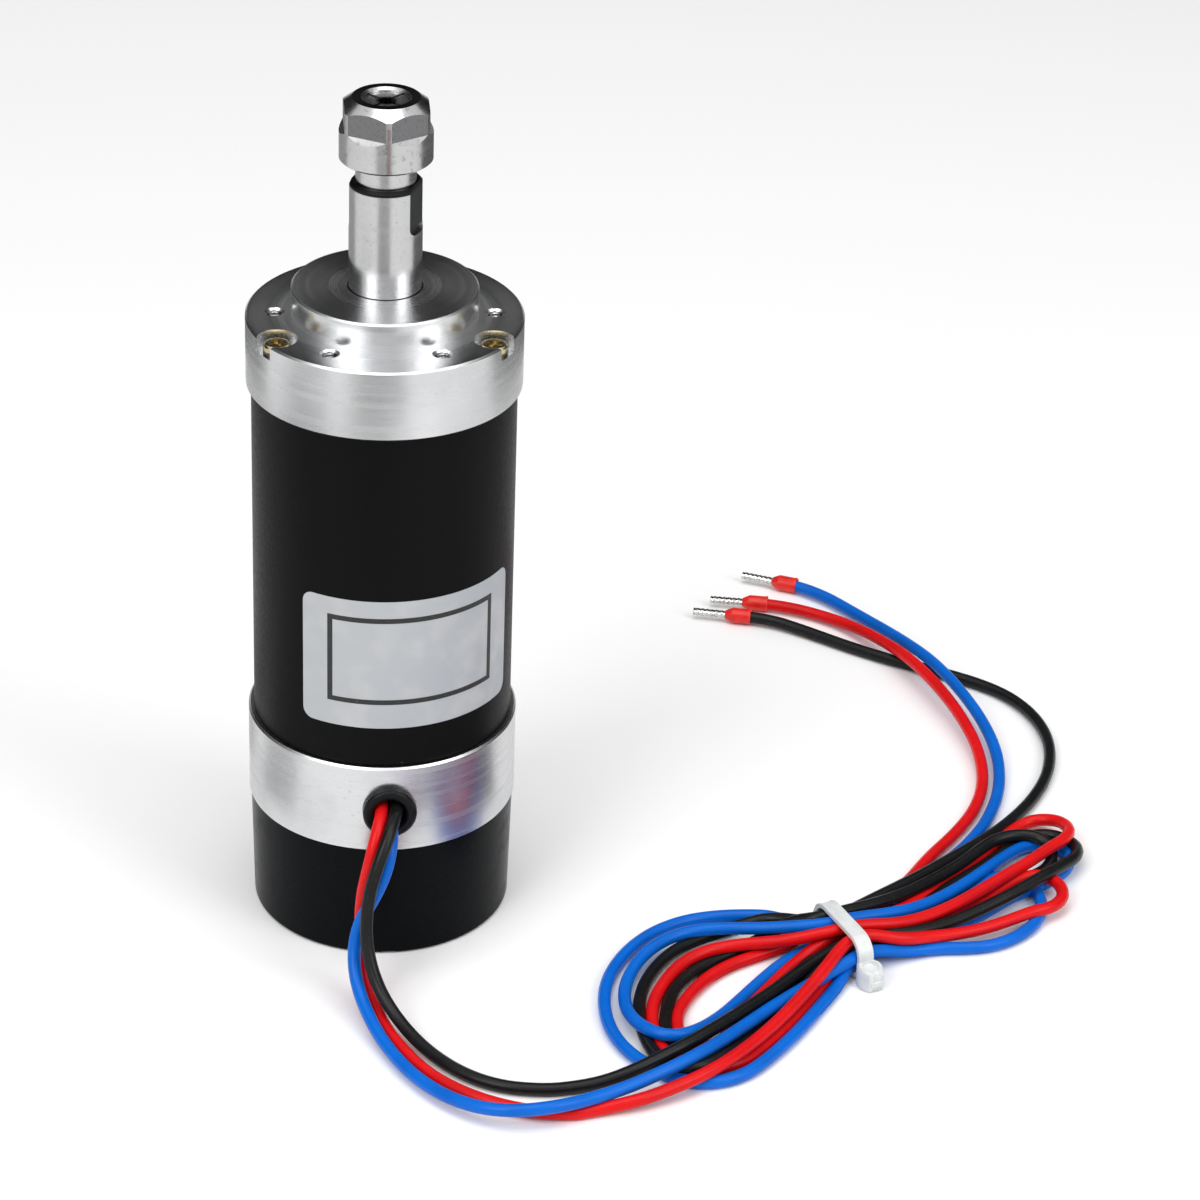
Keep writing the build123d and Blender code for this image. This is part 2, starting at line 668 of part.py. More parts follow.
# ---------------------------------------------------------------- leads
# Route points (x, y, z) from inside the rear ring, through the grommet, down to the surface
# that the spindle stands on and along it to the tied hank; then from the hank to the ferrule.
lead_routes = {
    "lead_black": [
        (1.6, -20.6, 37.9), (1.5, -24.8, 37.7), (1.5, -29.2, 37.8), (0.8, -33.2, 37.6), (-0.4, -36.6, 36.2),
        (-1.9, -39.3, 33.6), (-3.4, -41.1, 30.0), (-4.7, -42.3, 25.8), (-5.5, -43.6, 21.2),
        (-5.7, -45.3, 16.1), (-4.9, -48.2, 11.0), (-2.8, -52.4, 6.5), (0.9, -58.2, 3.1),
        (5.8, -65.9, 1.5), (12.3, -74.0, 1.4), (20.0, -79.1, 1.4), (29.0, -80.8, 1.4),
        (40.2, -78.0, 1.4), (49.8, -72.5, 1.9),
    ],
    "lead_blue": [
        (0.1, -20.6, 35.1), (0.0, -24.9, 35.3), (0.1, -29.3, 35.3), (0.3, -33.2, 34.5), (-0.1, -36.6, 32.3),
        (-1.1, -38.9, 28.8), (-2.7, -40.1, 25.0), (-4.7, -40.7, 21.2), (-7.0, -41.4, 17.2),
        (-8.2, -43.4, 12.3), (-8.1, -47.2, 7.6), (-6.4, -53.5, 4.0), (-2.9, -63.9, 2.0),
        (3.1, -76.5, 2.0), (11.4, -86.6, 3.0), (20.6, -92.0, 4.6), (30.6, -91.2, 4.8),
        (40.2, -84.9, 3.7), (46.6, -79.8, 2.7), (52.8, -75.2, 1.8),
    ],
    "lead_red": [
        (-1.6, -20.6, 37.9), (-1.5, -24.6, 37.7), (-1.6, -28.6, 37.8), (-2.1, -32.6, 37.2),
        (-3.2, -36.0, 35.0), (-4.3, -38.0, 31.4), (-5.3, -38.5, 27.0), (-6.1, -38.1, 22.4),
        (-6.5, -38.0, 17.2), (-6.4, -39.6, 11.8), (-5.8, -42.9, 7.2), (-4.8, -47.6, 3.6),
        (-3.2, -54.0, 1.7), (-0.4, -62.6, 1.4), (5.4, -73.9, 1.4), (14.0, -82.2, 1.4),
        (23.4, -87.2, 1.4), (33.2, -89.4, 1.4), (43.0, -86.9, 1.4), (50.7, -83.3, 1.5), (57.8, -78.9, 1.6),
    ],
    "lead_black_tail": [
        (133.0, 2.6, 3.4), (141.2, 11.6, 1.8), (150.3, 22.8, 1.4), (157.1, 35.1, 1.4), (160.3, 47.9, 1.4),
        (159.7, 59.4, 1.4), (155.9, 69.4, 1.4), (149.7, 76.5, 1.4), (141.0, 82.6, 1.4),
        (131.2, 88.3, 1.4), (120.9, 95.6, 1.4), (110.2, 104.6, 1.5),
    ],
    "lead_blue_tail": [
        (124.6, -3.0, 3.2), (132.8, 6.0, 1.8), (139.7, 17.2, 1.4), (144.6, 29.5, 1.5), (146.6, 42.2, 2.4),
        (145.6, 54.6, 3.7), (142.6, 67.2, 4.9), (138.2, 81.8, 5.1), (132.6, 96.6, 3.2),
        (126.0, 109.4, 1.7),
    ],
    "lead_red_tail": [
        (116.6, -8.4, 2.6), (123.0, 1.4, 1.6), (130.6, 10.8, 1.4), (137.2, 20.9, 1.4), (141.4, 32.5, 1.7),
        (142.4, 44.8, 2.7), (140.7, 57.0, 4.0), (137.3, 69.8, 5.1), (132.6, 84.0, 5.1),
        (126.6, 98.0, 3.2), (119.2, 109.2, 1.7),
    ],
}
# where each insulation ends in its ferrule, and the ferrule's direction from +X
ferrule_places = {
    "black": ((97.5, 111.4), 166.0),
    "blue": ((111.2, 126.6), 155.0),
    "red": ((102.6, 117.6), 168.0),
}


def bend_radii(points):
    """Each bend as large as its two runs allow."""
    radii = []
    for before, corner, after in zip(points, points[1:], points[2:]):
        arriving = Vector(*corner) - Vector(*before)
        leaving = Vector(*after) - Vector(*corner)
        turn = radians(arriving.get_angle(leaving))
        radii.append(0.45 * min(arriving.length, leaving.length) / tan(turn / 2))
    return radii


def lead(name, points):
    """A round lead along straight runs and tangent arcs."""
    radii = bend_radii(points)
    with BuildPart() as wire:
        with BuildLine() as route:
            FilletPolyline(*points, radius=radii)
        start = Vector(*points[0])
        with BuildSketch(Plane(origin=start, z_dir=Vector(*points[1]) - start)) as section:
            Circle(lead_radius)
        sweep(section.sketch, path=route.wires()[0])
    length = route.wires()[0].length
    share = wire.part.volume / (length * pi * lead_radius ** 2)
    print(f"{name}: length {length:.1f}, tightest bend {min(radii):.1f}, volume share {share:.4f}")
    save(wire, name)


for color, ((x, y), azimuth) in ferrule_places.items():
    way = (cos(radians(azimuth)), sin(radians(azimuth)))
    lead_routes[f"lead_{color}_tail"] += [
        (x - collar_approach * way[0], y - collar_approach * way[1], ferrule_axis_height),
        (x + collar_insert * way[0], y + collar_insert * way[1], ferrule_axis_height),
    ]
    ferrule_plane = Plane(origin=(x, y, ferrule_axis_height), x_dir=(-way[1], way[0], 0),
                          z_dir=(way[0], way[1], 0))
    with BuildPart() as ferrule_collar:
        cylinder_length = collar_length - collar_cone_length
        with BuildSketch(ferrule_plane) as body:
            Circle(collar_radius)
        extrude(amount=cylinder_length)
        with BuildSketch(ferrule_plane.offset(cylinder_length)) as shoulder:
            Circle(collar_radius)
        with BuildSketch(ferrule_plane.offset(collar_length)) as throat:
            Circle(pin_width / 2 + 2 * collar_clearance)
        loft([shoulder.sketch, throat.sketch])
        with BuildSketch(ferrule_plane) as wire_hole:
            Circle(lead_radius + collar_clearance)
        extrude(amount=collar_insert + collar_clearance, mode=Mode.SUBTRACT)
        with BuildSketch(ferrule_plane) as pin_hole:
            Rectangle(pin_width + collar_clearance, pin_height + collar_clearance)
        extrude(amount=collar_length, mode=Mode.SUBTRACT)
    save(ferrule_collar, f"ferrule_collar_{color}")
    with BuildPart() as ferrule_pin:
        with BuildSketch(ferrule_plane.offset(collar_insert + 2 * collar_clearance)) as barrel:
            RectangleRounded(pin_width, pin_height, pin_height / 4)
        extrude(amount=pin_length + collar_length - collar_insert)
        chamfer(ferrule_pin.faces().sort_by(Axis((x, y, 0), (way[0], way[1], 0)))[-1].edges(), pin_height / 8)
    save(ferrule_pin, f"ferrule_pin_{color}")

for name, points in lead_routes.items():
    lead(name, points)

# ---------------------------------------------------------------- hank and tie
hank_outline = [
    (43.8, -50.5), (47.0, -40.0), (54.5, -30.6), (66.0, -25.8), (80.0, -25.0), (94.8, -23.6),
    (110.5, -15.6), (124.0, -4.8), (134.0, 3.2), (144.5, 11.0), (152.4, 12.4), (153.0, 2.0),
    (148.6, -13.5), (140.6, -26.5), (128.0, -35.2), (114.0, -37.8), (102.2, -37.8), (95.0, -50.0),
    (86.0, -64.0), (75.0, -75.6), (62.0, -79.6), (50.0, -73.4),
]
hank_eye = [(58.0, -57.0), (65.4, -43.5), (79.0, -37.6), (87.0, -39.6), (77.0, -50.6), (64.5, -61.5)]

tie_plane = Plane(
    origin=(tie_centre[0], tie_centre[1], tie_thickness + tie_inner_height / 2),
    x_dir=(-sin(radians(tie_azimuth)), cos(radians(tie_azimuth)), 0),
    z_dir=(cos(radians(tie_azimuth)), sin(radians(tie_azimuth)), 0),
)


def tie_window(clearance=0.0):
    """The section that the tie squeezes the turns into, flat below and rounder on top."""
    with BuildSketch(tie_plane) as window:
        Rectangle(tie_inner_width, tie_inner_height)
        fillet(window.vertices().group_by(Axis.Y)[0], tie_low_corner)
        fillet(window.vertices().group_by(Axis.Y)[-1], tie_high_corner)
        if clearance:
            offset(amount=-clearance)
    return window.sketch


with BuildPart() as lead_hank:
    with BuildSketch() as footprint:
        with BuildLine():
            Spline(*hank_outline, periodic=True)
        make_face()
        with BuildLine():
            Spline(*hank_eye, periodic=True)
        make_face(mode=Mode.SUBTRACT)
    extrude(amount=hank_height)
    with BuildSketch(tie_plane.offset(-tie_width / 2 - tie_clearance)) as groove:
        Rectangle(3 * tie_inner_width, 4 * tie_inner_height)
    extrude(amount=tie_width + 2 * tie_clearance, mode=Mode.SUBTRACT)
    extrude(tie_window(tie_clearance), amount=hank_waist_length / 2, both=True)
save(lead_hank, "lead_hank")

with BuildPart() as cable_tie:
    band = tie_window()
    extrude(offset(band, amount=tie_thickness, mode=Mode.PRIVATE), amount=tie_width / 2, both=True)
    extrude(band, amount=tie_width / 2, both=True, mode=Mode.SUBTRACT)
    head_centre = -tie_inner_width / 2 - tie_head_size[1] / 2
    with BuildSketch(tie_plane.offset(-tie_head_size[0] / 2)) as lock:
        with Locations((head_centre, tie_head_size[2] / 2 - tie_plane.origin.Z)):
            RectangleRounded(tie_head_size[1], tie_head_size[2], tie_head_corner)
    extrude(amount=tie_head_size[0])
save(cable_tie, "cable_tie")
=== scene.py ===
"""Motor spindle with an ER11 collet nose: leads, label, fittings, materials, light and camera.

The frame is in metres. Lengths are written in millimetres and turned into metres by MM, except
in the studio, where they are in metres. Azimuths are in degrees from -Y towards +X, unless stated.
"""

import math

import bmesh
import bpy
import numpy as np
from mathutils import Matrix, Vector


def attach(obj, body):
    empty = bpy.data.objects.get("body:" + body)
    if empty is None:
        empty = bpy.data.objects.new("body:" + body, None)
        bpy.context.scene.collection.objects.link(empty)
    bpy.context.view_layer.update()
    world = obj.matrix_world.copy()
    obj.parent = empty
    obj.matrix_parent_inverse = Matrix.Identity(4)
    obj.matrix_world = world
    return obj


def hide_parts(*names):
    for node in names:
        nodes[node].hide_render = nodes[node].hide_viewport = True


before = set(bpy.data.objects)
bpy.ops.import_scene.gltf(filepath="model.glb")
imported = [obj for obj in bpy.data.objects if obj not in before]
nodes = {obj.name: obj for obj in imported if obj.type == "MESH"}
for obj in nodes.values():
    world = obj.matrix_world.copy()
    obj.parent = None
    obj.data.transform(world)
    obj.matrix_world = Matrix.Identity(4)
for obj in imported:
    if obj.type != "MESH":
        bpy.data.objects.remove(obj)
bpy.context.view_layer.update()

MM = 0.001


# -------------------- camera
CAMERA_PLACE = (-42.6, -739.2, 487.1)  # mm
CAMERA_YAW = math.radians(6.862)
CAMERA_PITCH = math.radians(29.230)    # downwards
CAMERA_ROLL = math.radians(2.126)
SENSOR_WIDTH = 36.0
FOCAL_SHARE = 3.32642                  # focal length over the sensor's width


def make_camera():
    """The photograph's view."""
    forward = Vector((math.sin(CAMERA_YAW) * math.cos(CAMERA_PITCH),
                      math.cos(CAMERA_YAW) * math.cos(CAMERA_PITCH), -math.sin(CAMERA_PITCH)))
    level = Vector((math.cos(CAMERA_YAW), -math.sin(CAMERA_YAW), 0))
    upright = level.cross(forward)
    right = math.cos(CAMERA_ROLL) * level + math.sin(CAMERA_ROLL) * upright
    up = math.cos(CAMERA_ROLL) * upright - math.sin(CAMERA_ROLL) * level
    data = bpy.data.cameras.new("camera")
    data.sensor_width = SENSOR_WIDTH
    data.lens = SENSOR_WIDTH * FOCAL_SHARE
    camera = bpy.data.objects.new("camera", data)
    camera.matrix_world = Matrix.Translation(Vector(CAMERA_PLACE) * MM) @ \
        Matrix((right, up, -forward)).transposed().to_4x4()
    bpy.context.scene.collection.objects.link(camera)
    bpy.context.scene.camera = camera


make_camera()

# -------------------- leads
LEAD_DIAMETER = 2.8
LEAD_RADIUS = LEAD_DIAMETER / 2

# The routes from the rear ring to the hank, and from the hank to the ferrules.
EXIT_ROUTES = {
    "black": [(1.6, -20.6, 37.9), (1.5, -24.8, 37.7), (1.5, -29.2, 37.8), (0.8, -33.2, 37.6),
        (-0.4, -36.6, 36.2), (-1.9, -39.3, 33.6), (-3.4, -41.1, 30), (-4.7, -42.3, 25.8),
        (-5.5, -43.6, 21.2), (-5.7, -45.3, 16.1), (-4.9, -48.2, 11), (-2.8, -52.4, 6.5),
        (0.9, -58.2, 3.1), (5.8, -65.9, 1.5), (12.3, -74, 1.4), (20, -79.1, 1.4), (29, -80.8, 1.4)],
    "blue": [(0.1, -20.6, 35.1), (0, -24.9, 35.3), (0.1, -29.3, 35.3), (0.3, -33.2, 34.5),
        (-0.1, -36.6, 32.3), (-1.1, -38.9, 28.8), (-2.7, -40.1, 25), (-4.7, -40.7, 21.2),
        (-7, -41.4, 17.2), (-8.2, -43.4, 12.3), (-8.1, -47.2, 7.6), (-6.4, -53.5, 4), (-2.9, -63.9, 2),
        (3.1, -76.5, 2), (11.4, -86.6, 3), (20.6, -92, 4.6), (30.6, -91.2, 4.8)],
    "red": [(-1.6, -20.6, 37.9), (-1.5, -24.6, 37.7), (-1.6, -28.6, 37.8), (-2.1, -32.6, 37.2),
        (-3.2, -36, 35), (-4.3, -38, 31.4), (-5.3, -38.5, 27), (-6.1, -38.1, 22.4), (-6.5, -38, 17.2),
        (-6.4, -39.6, 11.8), (-5.8, -42.9, 7.2), (-4.8, -47.6, 3.6), (-3.2, -54, 1.7),
        (-0.4, -62.6, 1.4), (5.4, -73.9, 1.4), (14, -82.2, 1.4), (23.4, -87.2, 1.4), (33.2, -89.4, 1.4)],
}
TAIL_ROUTES = {
    "black": [(133, 2.6, 3.4), (141.2, 11.6, 1.8), (150.3, 22.8, 1.4), (157.1, 35.1, 1.4),
        (160.3, 47.9, 1.4), (159.7, 59.4, 1.4), (155.9, 69.4, 1.4), (149.7, 76.5, 1.4), (141, 82.6, 1.4),
        (131.2, 88.3, 1.4), (120.9, 95.6, 1.4), (110.2, 104.6, 1.5)],
    "blue": [(124.6, -3, 1.6), (132.8, 6, 1.6), (139.7, 17.2, 1.4), (144.6, 29.5, 1.5),
        (146.6, 42.2, 2.4), (145.6, 54.6, 3.7), (142.6, 67.2, 4.9), (138.2, 81.8, 5.1),
        (132.6, 96.6, 3.2), (126, 109.4, 1.7)],
    "red": [(116.6, -8.4, 1.6), (123, 1.4, 1.6), (130.6, 10.8, 1.4), (137.2, 20.9, 1.4),
        (141.4, 32.5, 1.7), (142.4, 44.8, 2.7), (140.7, 57, 4), (137.3, 69.8, 5.1), (132.6, 84, 5.1),
        (126.6, 98, 3.2), (119.2, 109.2, 1.7)],
}
# where each insulation ends in its ferrule, and the ferrule's direction from +X
FERRULE_PLACES = {
    "black": ((97.5, 111.4), 166.0),
    "blue": ((111.2, 126.6), 155.0),
    "red": ((102.6, 117.6), 168.0),
}
FERRULE_HEIGHT = 2.0
COLLAR_INSERT = 4.0      # how far a lead reaches into its collar
COLLAR_APPROACH = 4.0    # straight lead before the collar

# The hank. Each lead runs in over the left lobe, passes the tie five times with a right loop and
# a left loop between passes, and leaves to the right as its tail. A slot is a pass: its place across
# the tie, its row, and its direction in degrees from +X.
TIE_CENTRE = (97.8, -33.8)
TIE_AZIMUTH = math.radians(20.0)
TIE_ROWS = (2.6, 4.8, 7.0)  # heights of the three rows of turns inside the tie
PASS_HALF_LENGTH = 3.0      # straight lead on each side of the tie's middle
PASSES = 5
HANK = {
    "black": {
        "slots": [(-2.2, 1, 32), (0, 0, 30), (5.8, 2, 20), (-4.9, 1, 36), (7.2, 1, 22)],
        "in": [(35.3, -80.3, 1.6), (41.4, -79.2, 2.4), (47.4, -78.1, 4.2), (53.6, -75.4, 5.6),
               (59.3, -72.4, 6.6), (65.6, -67.5, 6.8), (73, -60.4, 6.2), (80.5, -53.1, 5.4),
               (87.5, -45.5, 4.8)],
        "right": [
            [(108.8, -33.1, 4.6), (115.2, -30.8, 4.2), (122.6, -27, 4.2), (129.8, -22.8, 5),
             (136.9, -18.7, 6), (143.7, -13.4, 6.4), (149.1, -8.4, 6), (153.4, -3.7, 5.4),
             (154.9, 1.9, 4.6), (153.8, 6.7, 3.6), (150.6, 9.7, 2.6), (146.5, 9.6, 1.6), (142.1, 5.9),
             (137.2, 0.7), (130.6, -5.5), (122.7, -12.7), (112.8, -23.9, 1.6)],
            [(108.2, -22.2, 6), (115.3, -16.6, 5), (122.5, -10.6, 4.4), (128.9, -4.8, 4.2),
             (135.2, 1.9, 4.2), (138.6, 4.5, 4.4), (143.2, 5.7, 4.6), (147.5, 4.9, 4.6), (150.2, 2.5, 4),
             (150.4, -1.6, 3), (147.7, -5.7, 1.8), (140.9, -8.9), (133.6, -12.1), (126.9, -17.2),
             (119.2, -23.4, 2.4), (111.1, -30.7, 4)],
        ],
        "left": [
            [(89.9, -37.7, 2), (84.3, -46.2), (80.1, -52.9), (74.2, -60.9), (70.4, -65.5), (67.5, -68.3),
             (64.6, -70.3), (61.1, -71.1), (57.9, -69.9), (55.7, -67.4), (55.1, -63.2), (56, -55.9),
             (58.9, -46.3), (63.8, -39.9), (69.2, -35.3), (75.6, -31.8), (82.2, -26.9, 1.6),
             (87.6, -25.2, 3.8)],
            [(90.9, -42.8, 3.4), (85, -51.3), (79.3, -58.4), (73.5, -66.3, 1.8), (67.8, -73.5, 3.2),
             (62.1, -78.8, 4), (56.9, -78.2, 3.8), (53.4, -70.6, 2.4), (52.2, -60.2), (52.7, -51.4),
             (55.2, -42.7), (60.1, -34.6), (65.8, -29.4), (71.8, -26.1), (78.2, -23.1),
             (84.2, -22.5, 2.6)],
        ],
        "out": [(108, -19.1, 4.8), (115.1, -13.4, 4.4), (123.3, -6.3, 4)],
    },
    "blue": {
        "slots": [(-7.5, 1, 36), (2.9, 0, 24), (2.9, 2, 20), (-6, 0, 45), (5.8, 0, 20)],
        "in": [(39.5, -87, 4.2), (46.7, -83.9, 4.6), (53.3, -81, 5.6), (59.4, -77.6, 6.2),
               (65.7, -72.5, 6.2), (72.3, -65.4, 5.4), (79.2, -57.9, 4.6), (85.9, -51.8, 4.2),
               (91.3, -47.4, 4.2)],
        "right": [
            [(111.4, -35.9, 2.2), (118.6, -33.9), (124.5, -34.2), (130.7, -33.5), (137, -30.2),
             (142.6, -24.3), (145.1, -15.9), (143, -8.2), (137.2, -6.2), (130.7, -11), (124, -16.1),
             (117, -21.2), (109.5, -25.1, 1.6)],
            [(109.7, -26.9, 6.4), (116.4, -23, 5.6), (123.6, -17.1, 5), (131.1, -9.4, 4.6),
             (138.1, -1.1, 4.4), (144.1, 5, 4.6), (148.6, 6.6, 4.4), (152.2, 6.1, 4), (154.6, 4.1, 3.2),
             (155.1, 0.8, 2.2), (152.8, -4.3), (146.4, -9.2), (139.2, -12.8), (132.4, -18.2),
             (125.3, -23.6), (118.9, -27.9), (113, -31.5, 1.8)],
        ],
        "left": [
            [(88.5, -35.1, 1.6), (84.2, -39.1), (78.9, -45.5), (73.5, -52.5), (68.2, -59.8, 2.4),
             (62.7, -66, 3.8), (57.4, -67.9, 4.2), (53.2, -65.2, 4.2), (50.3, -59.3, 3.6),
             (49.5, -51.6, 3), (50.9, -43.5, 3), (54.5, -36.5, 3.8), (59.9, -31.1, 4.2),
             (66.2, -28.3, 4.2), (72.9, -27.9, 4.4), (79.5, -29.2, 5), (85.9, -30.7, 6)],
            [(94.5, -47, 1.6), (89.3, -54.3), (84.2, -61.8), (78.5, -69), (72.2, -75.8), (66.2, -78.5),
             (60.6, -78.2), (55.4, -75.5), (51.1, -70.9), (47.3, -65.2), (45, -57.8), (44.7, -49),
             (46.5, -40.3), (50.7, -32.1), (56.6, -25.3), (63.5, -21), (70.4, -19.3), (78, -19.2),
             (85.4, -20.1)],
        ],
        "out": [(106.8, -20.8, 1.8), (113.4, -13.3), (119.7, -5.6)],
    },
    "red": {
        "slots": [(-4.3, 2, 38), (-2.9, 0, 36), (0, 2, 20), (1.45, 1, 24), (4.35, 1, 20)],
        "in": [(39.5, -87.6, 1.8), (46.5, -86.7, 3.4), (53, -84.1, 4.2), (59.7, -80.7, 5),
               (65.9, -76.4, 5.4), (72.4, -70, 5.2), (78.4, -63.2, 4.9), (84.6, -55.6, 5),
               (90.2, -49.1, 6)],
        "right": [
            [(109.9, -36.5, 6), (116.5, -33.8, 5), (122.5, -31.9, 4.4), (128.9, -30, 4.2),
             (135.4, -27.3, 4.2), (141.5, -24.2, 4.2), (146.1, -23, 4.2), (149.8, -18.7, 4.2),
             (149.8, -13.1, 4.2), (145.9, -9.6, 4), (140.6, -11.2, 3.6), (134.2, -16.5, 2.8),
             (127, -22.5, 2.2), (118.7, -28.7, 2.4), (110.5, -32.6, 2.2)],
            [(109.6, -31.9, 6.6), (116.1, -29, 6.4), (122.9, -24.5, 6.4), (130, -18.9, 6.6),
             (137.2, -13, 7), (144, -7.4, 7), (149.4, -1.8, 6.8), (153.5, 1.8, 6.4), (155.6, 6.3, 5.8),
             (154.8, 11.3, 5), (151.6, 14.5, 4), (147.5, 15.2, 3), (143.3, 12.6, 2), (139.5, 8),
             (134.9, 1.3), (130, -4.5), (123.4, -10.9, 1.6), (114.7, -20.7, 3)],
        ],
        "left": [
            [(92.6, -45.9, 1.6), (87.6, -53.5), (82.6, -60.5), (77.4, -66.7), (72, -72.2), (66.7, -74.7),
             (61.4, -74.4), (57, -70.8), (54.5, -64.7), (54, -57.1, 1.6), (55.3, -50.1, 2.2),
             (58.5, -44.1, 3), (62.7, -38.9, 3.6), (68.3, -35.6, 4), (74.4, -34.3, 4.2), (81, -34.5, 4.8),
             (86.7, -35.6, 6)],
            [(88.6, -39.3, 1.8), (84.2, -44.3), (78.8, -51.2), (73.2, -58.1), (69.5, -64.8), (65.7, -68.7),
             (61.3, -69.6), (57.7, -67.3), (56.6, -62.1), (57.4, -56), (60.8, -49.4), (66, -43),
             (71.7, -38.5), (78.1, -35.3), (84.4, -32.3, 1.6), (89.1, -30.3, 3.2)],
        ],
        "out": [(109, -19.1, 2.4)],
    },
}


def heading(angle):
    """A level direction, by its angle from +X."""
    return Vector((math.cos(angle), math.sin(angle), 0))


def places(points):
    """Points as vectors; one of two numbers is a lead's middle where it lies on the floor."""
    return [Vector(point if len(point) == 3 else (*point, LEAD_RADIUS)) for point in points]


def tie_pass(across, row, azimuth):
    """A place inside the tie, and the direction in which the lead passes it."""
    sideways = Vector((-math.sin(TIE_AZIMUTH), math.cos(TIE_AZIMUTH), 0))
    way = heading(math.radians(azimuth))
    return Vector((*TIE_CENTRE, TIE_ROWS[row])) + across * sideways, way


def hank_points(color):
    """The lead's points between its exit route and its tail route."""
    plan = HANK[color]
    points = places(plan["in"])
    for turn, slot in enumerate(plan["slots"]):
        place, way = tie_pass(*slot)
        rightwards = turn % 2 == 0
        step = (PASS_HALF_LENGTH if rightwards else -PASS_HALF_LENGTH) * way
        points += [place - step, place + step]
        if turn < PASSES - 1:
            points += places(plan["right" if rightwards else "left"][turn // 2])
    return points + places(plan["out"])


def ferrule_points(color):
    """A collar's mouth, its direction, and the lead's two last points, which run into it."""
    (x, y), azimuth = FERRULE_PLACES[color]
    way = heading(math.radians(azimuth))
    mouth = Vector((x, y, FERRULE_HEIGHT))
    return mouth, way, [mouth - COLLAR_APPROACH * way, mouth + COLLAR_INSERT * way]


def spline_weights(count, per_run=4):
    """Weights that turn a lead's control points into samples of its clamped quadratic NURBS line:
    a row a sample, a column a point."""
    knots = np.concatenate(([0, 0], np.arange(count - 1), [count - 2, count - 2])).astype(float)
    stops = np.linspace(0, count - 2, (count - 2) * per_run + 1)
    stops[-1] -= 1e-9
    weights = [((knots[k] <= stops) & (stops < knots[k + 1])).astype(float) for k in range(count + 2)]
    for degree in (1, 2):
        raised = []
        for k in range(count + 2 - degree):
            rise, fall = knots[k + degree] - knots[k], knots[k + degree + 1] - knots[k + 1]
            ahead = (stops - knots[k]) / rise * weights[k] if rise else 0
            behind = (knots[k + degree + 1] - stops) / fall * weights[k + 1] if fall else 0
            raised.append(ahead + behind)
        weights = raised
    return np.stack([np.broadcast_to(weight, stops.shape) for weight in weights], axis=1)


SETTLE_ROUNDS = 200
SETTLE_SEARCH = 8        # rounds between two searches for neighbouring turns
SETTLE_SAME_TURN = 8     # samples along a lead that belong to one turn
SETTLE_SHARE = 0.25      # of an overlap that each of two turns gives way in a round
SETTLE_GAIN = 1.6        # from a push on the line to a shift of its control points
SETTLE_WEIGHT = 0.03     # how far a turn sinks in a round
SETTLE_SMOOTHING = 0.2   # of the shifts along a lead, so that no push makes a kink
TIED_REACH = 9           # a lead is held this near the tie's middle


def settle(routes, held):
    """Push the leads' turns apart and down onto the floor, so that they lie on and beside each other."""
    points = {color: np.array([tuple(point) for point in route]) for color, route in routes.items()}
    drawn = {color: route.copy() for color, route in points.items()}
    weights = {color: spline_weights(len(route)) for color, route in routes.items()}
    share = {color: weight / np.maximum(weight.sum(0), 1e-9) for color, weight in weights.items()}
    owner = np.concatenate([np.full(len(weights[color]), number) for number, color in enumerate(routes)])
    order = np.concatenate([np.arange(len(weights[color])) for color in routes])
    for turn in range(SETTLE_ROUNDS):
        samples = np.concatenate([weights[color] @ points[color] for color in routes])
        if turn % SETTLE_SEARCH == 0:
            reach = np.sqrt(((samples[:, None, :] - samples[None, :, :]) ** 2).sum(2))
            other_turn = (owner[:, None] != owner[None, :]) | \
                (abs(order[:, None] - order[None, :]) > SETTLE_SAME_TURN)
            neighbour = (reach < 3 * LEAD_DIAMETER) & other_turn
            first, second = np.nonzero(np.triu(neighbour))
        apart = samples[first] - samples[second]
        gap = np.sqrt((apart ** 2).sum(1)) + 1e-9
        shove = apart * (SETTLE_SHARE * np.maximum(LEAD_DIAMETER - gap, 0) / gap)[:, None]
        push = np.zeros_like(samples)
        np.add.at(push, first, shove)
        np.add.at(push, second, -shove)
        push[:, 2] -= SETTLE_WEIGHT
        for number, color in enumerate(routes):
            moved = SETTLE_GAIN * share[color].T @ push[owner == number]
            free = ~held[color]
            shift = points[color] + moved - drawn[color]
            shift[1:-1] += SETTLE_SMOOTHING * (shift[:-2] + shift[2:] - 2 * shift[1:-1])
            points[color][free] = (drawn[color] + shift)[free]
            points[color][free, 2] = np.maximum(points[color][free, 2], LEAD_RADIUS)
    return points


def lead_routes():
    """Every control point of the three leads, from the cable outlet to the ferrule."""
    routes, held = {}, {}
    for color in EXIT_ROUTES:
        hank = hank_points(color)
        before = places(EXIT_ROUTES[color])
        after = places(TAIL_ROUTES[color]) + ferrule_points(color)[2]
        routes[color] = before + hank + after
        tied = [(point - Vector((*TIE_CENTRE, 0))).xy.length < TIED_REACH for point in hank]
        held[color] = np.array([True] * len(before) + tied + [True] * len(after))
    return settle(routes, held)


def line_length(points):
    """Length of a lead's NURBS line."""
    line = spline_weights(len(points), 16) @ points
    return float(np.sqrt((np.diff(line, axis=0) ** 2).sum(1)).sum())


def show(name, data):
    """Put new mesh or curve data in the scene, riding on the housing."""
    piece = bpy.data.objects.new(name, data)
    bpy.context.scene.collection.objects.link(piece)
    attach(piece, "housing")
    return piece


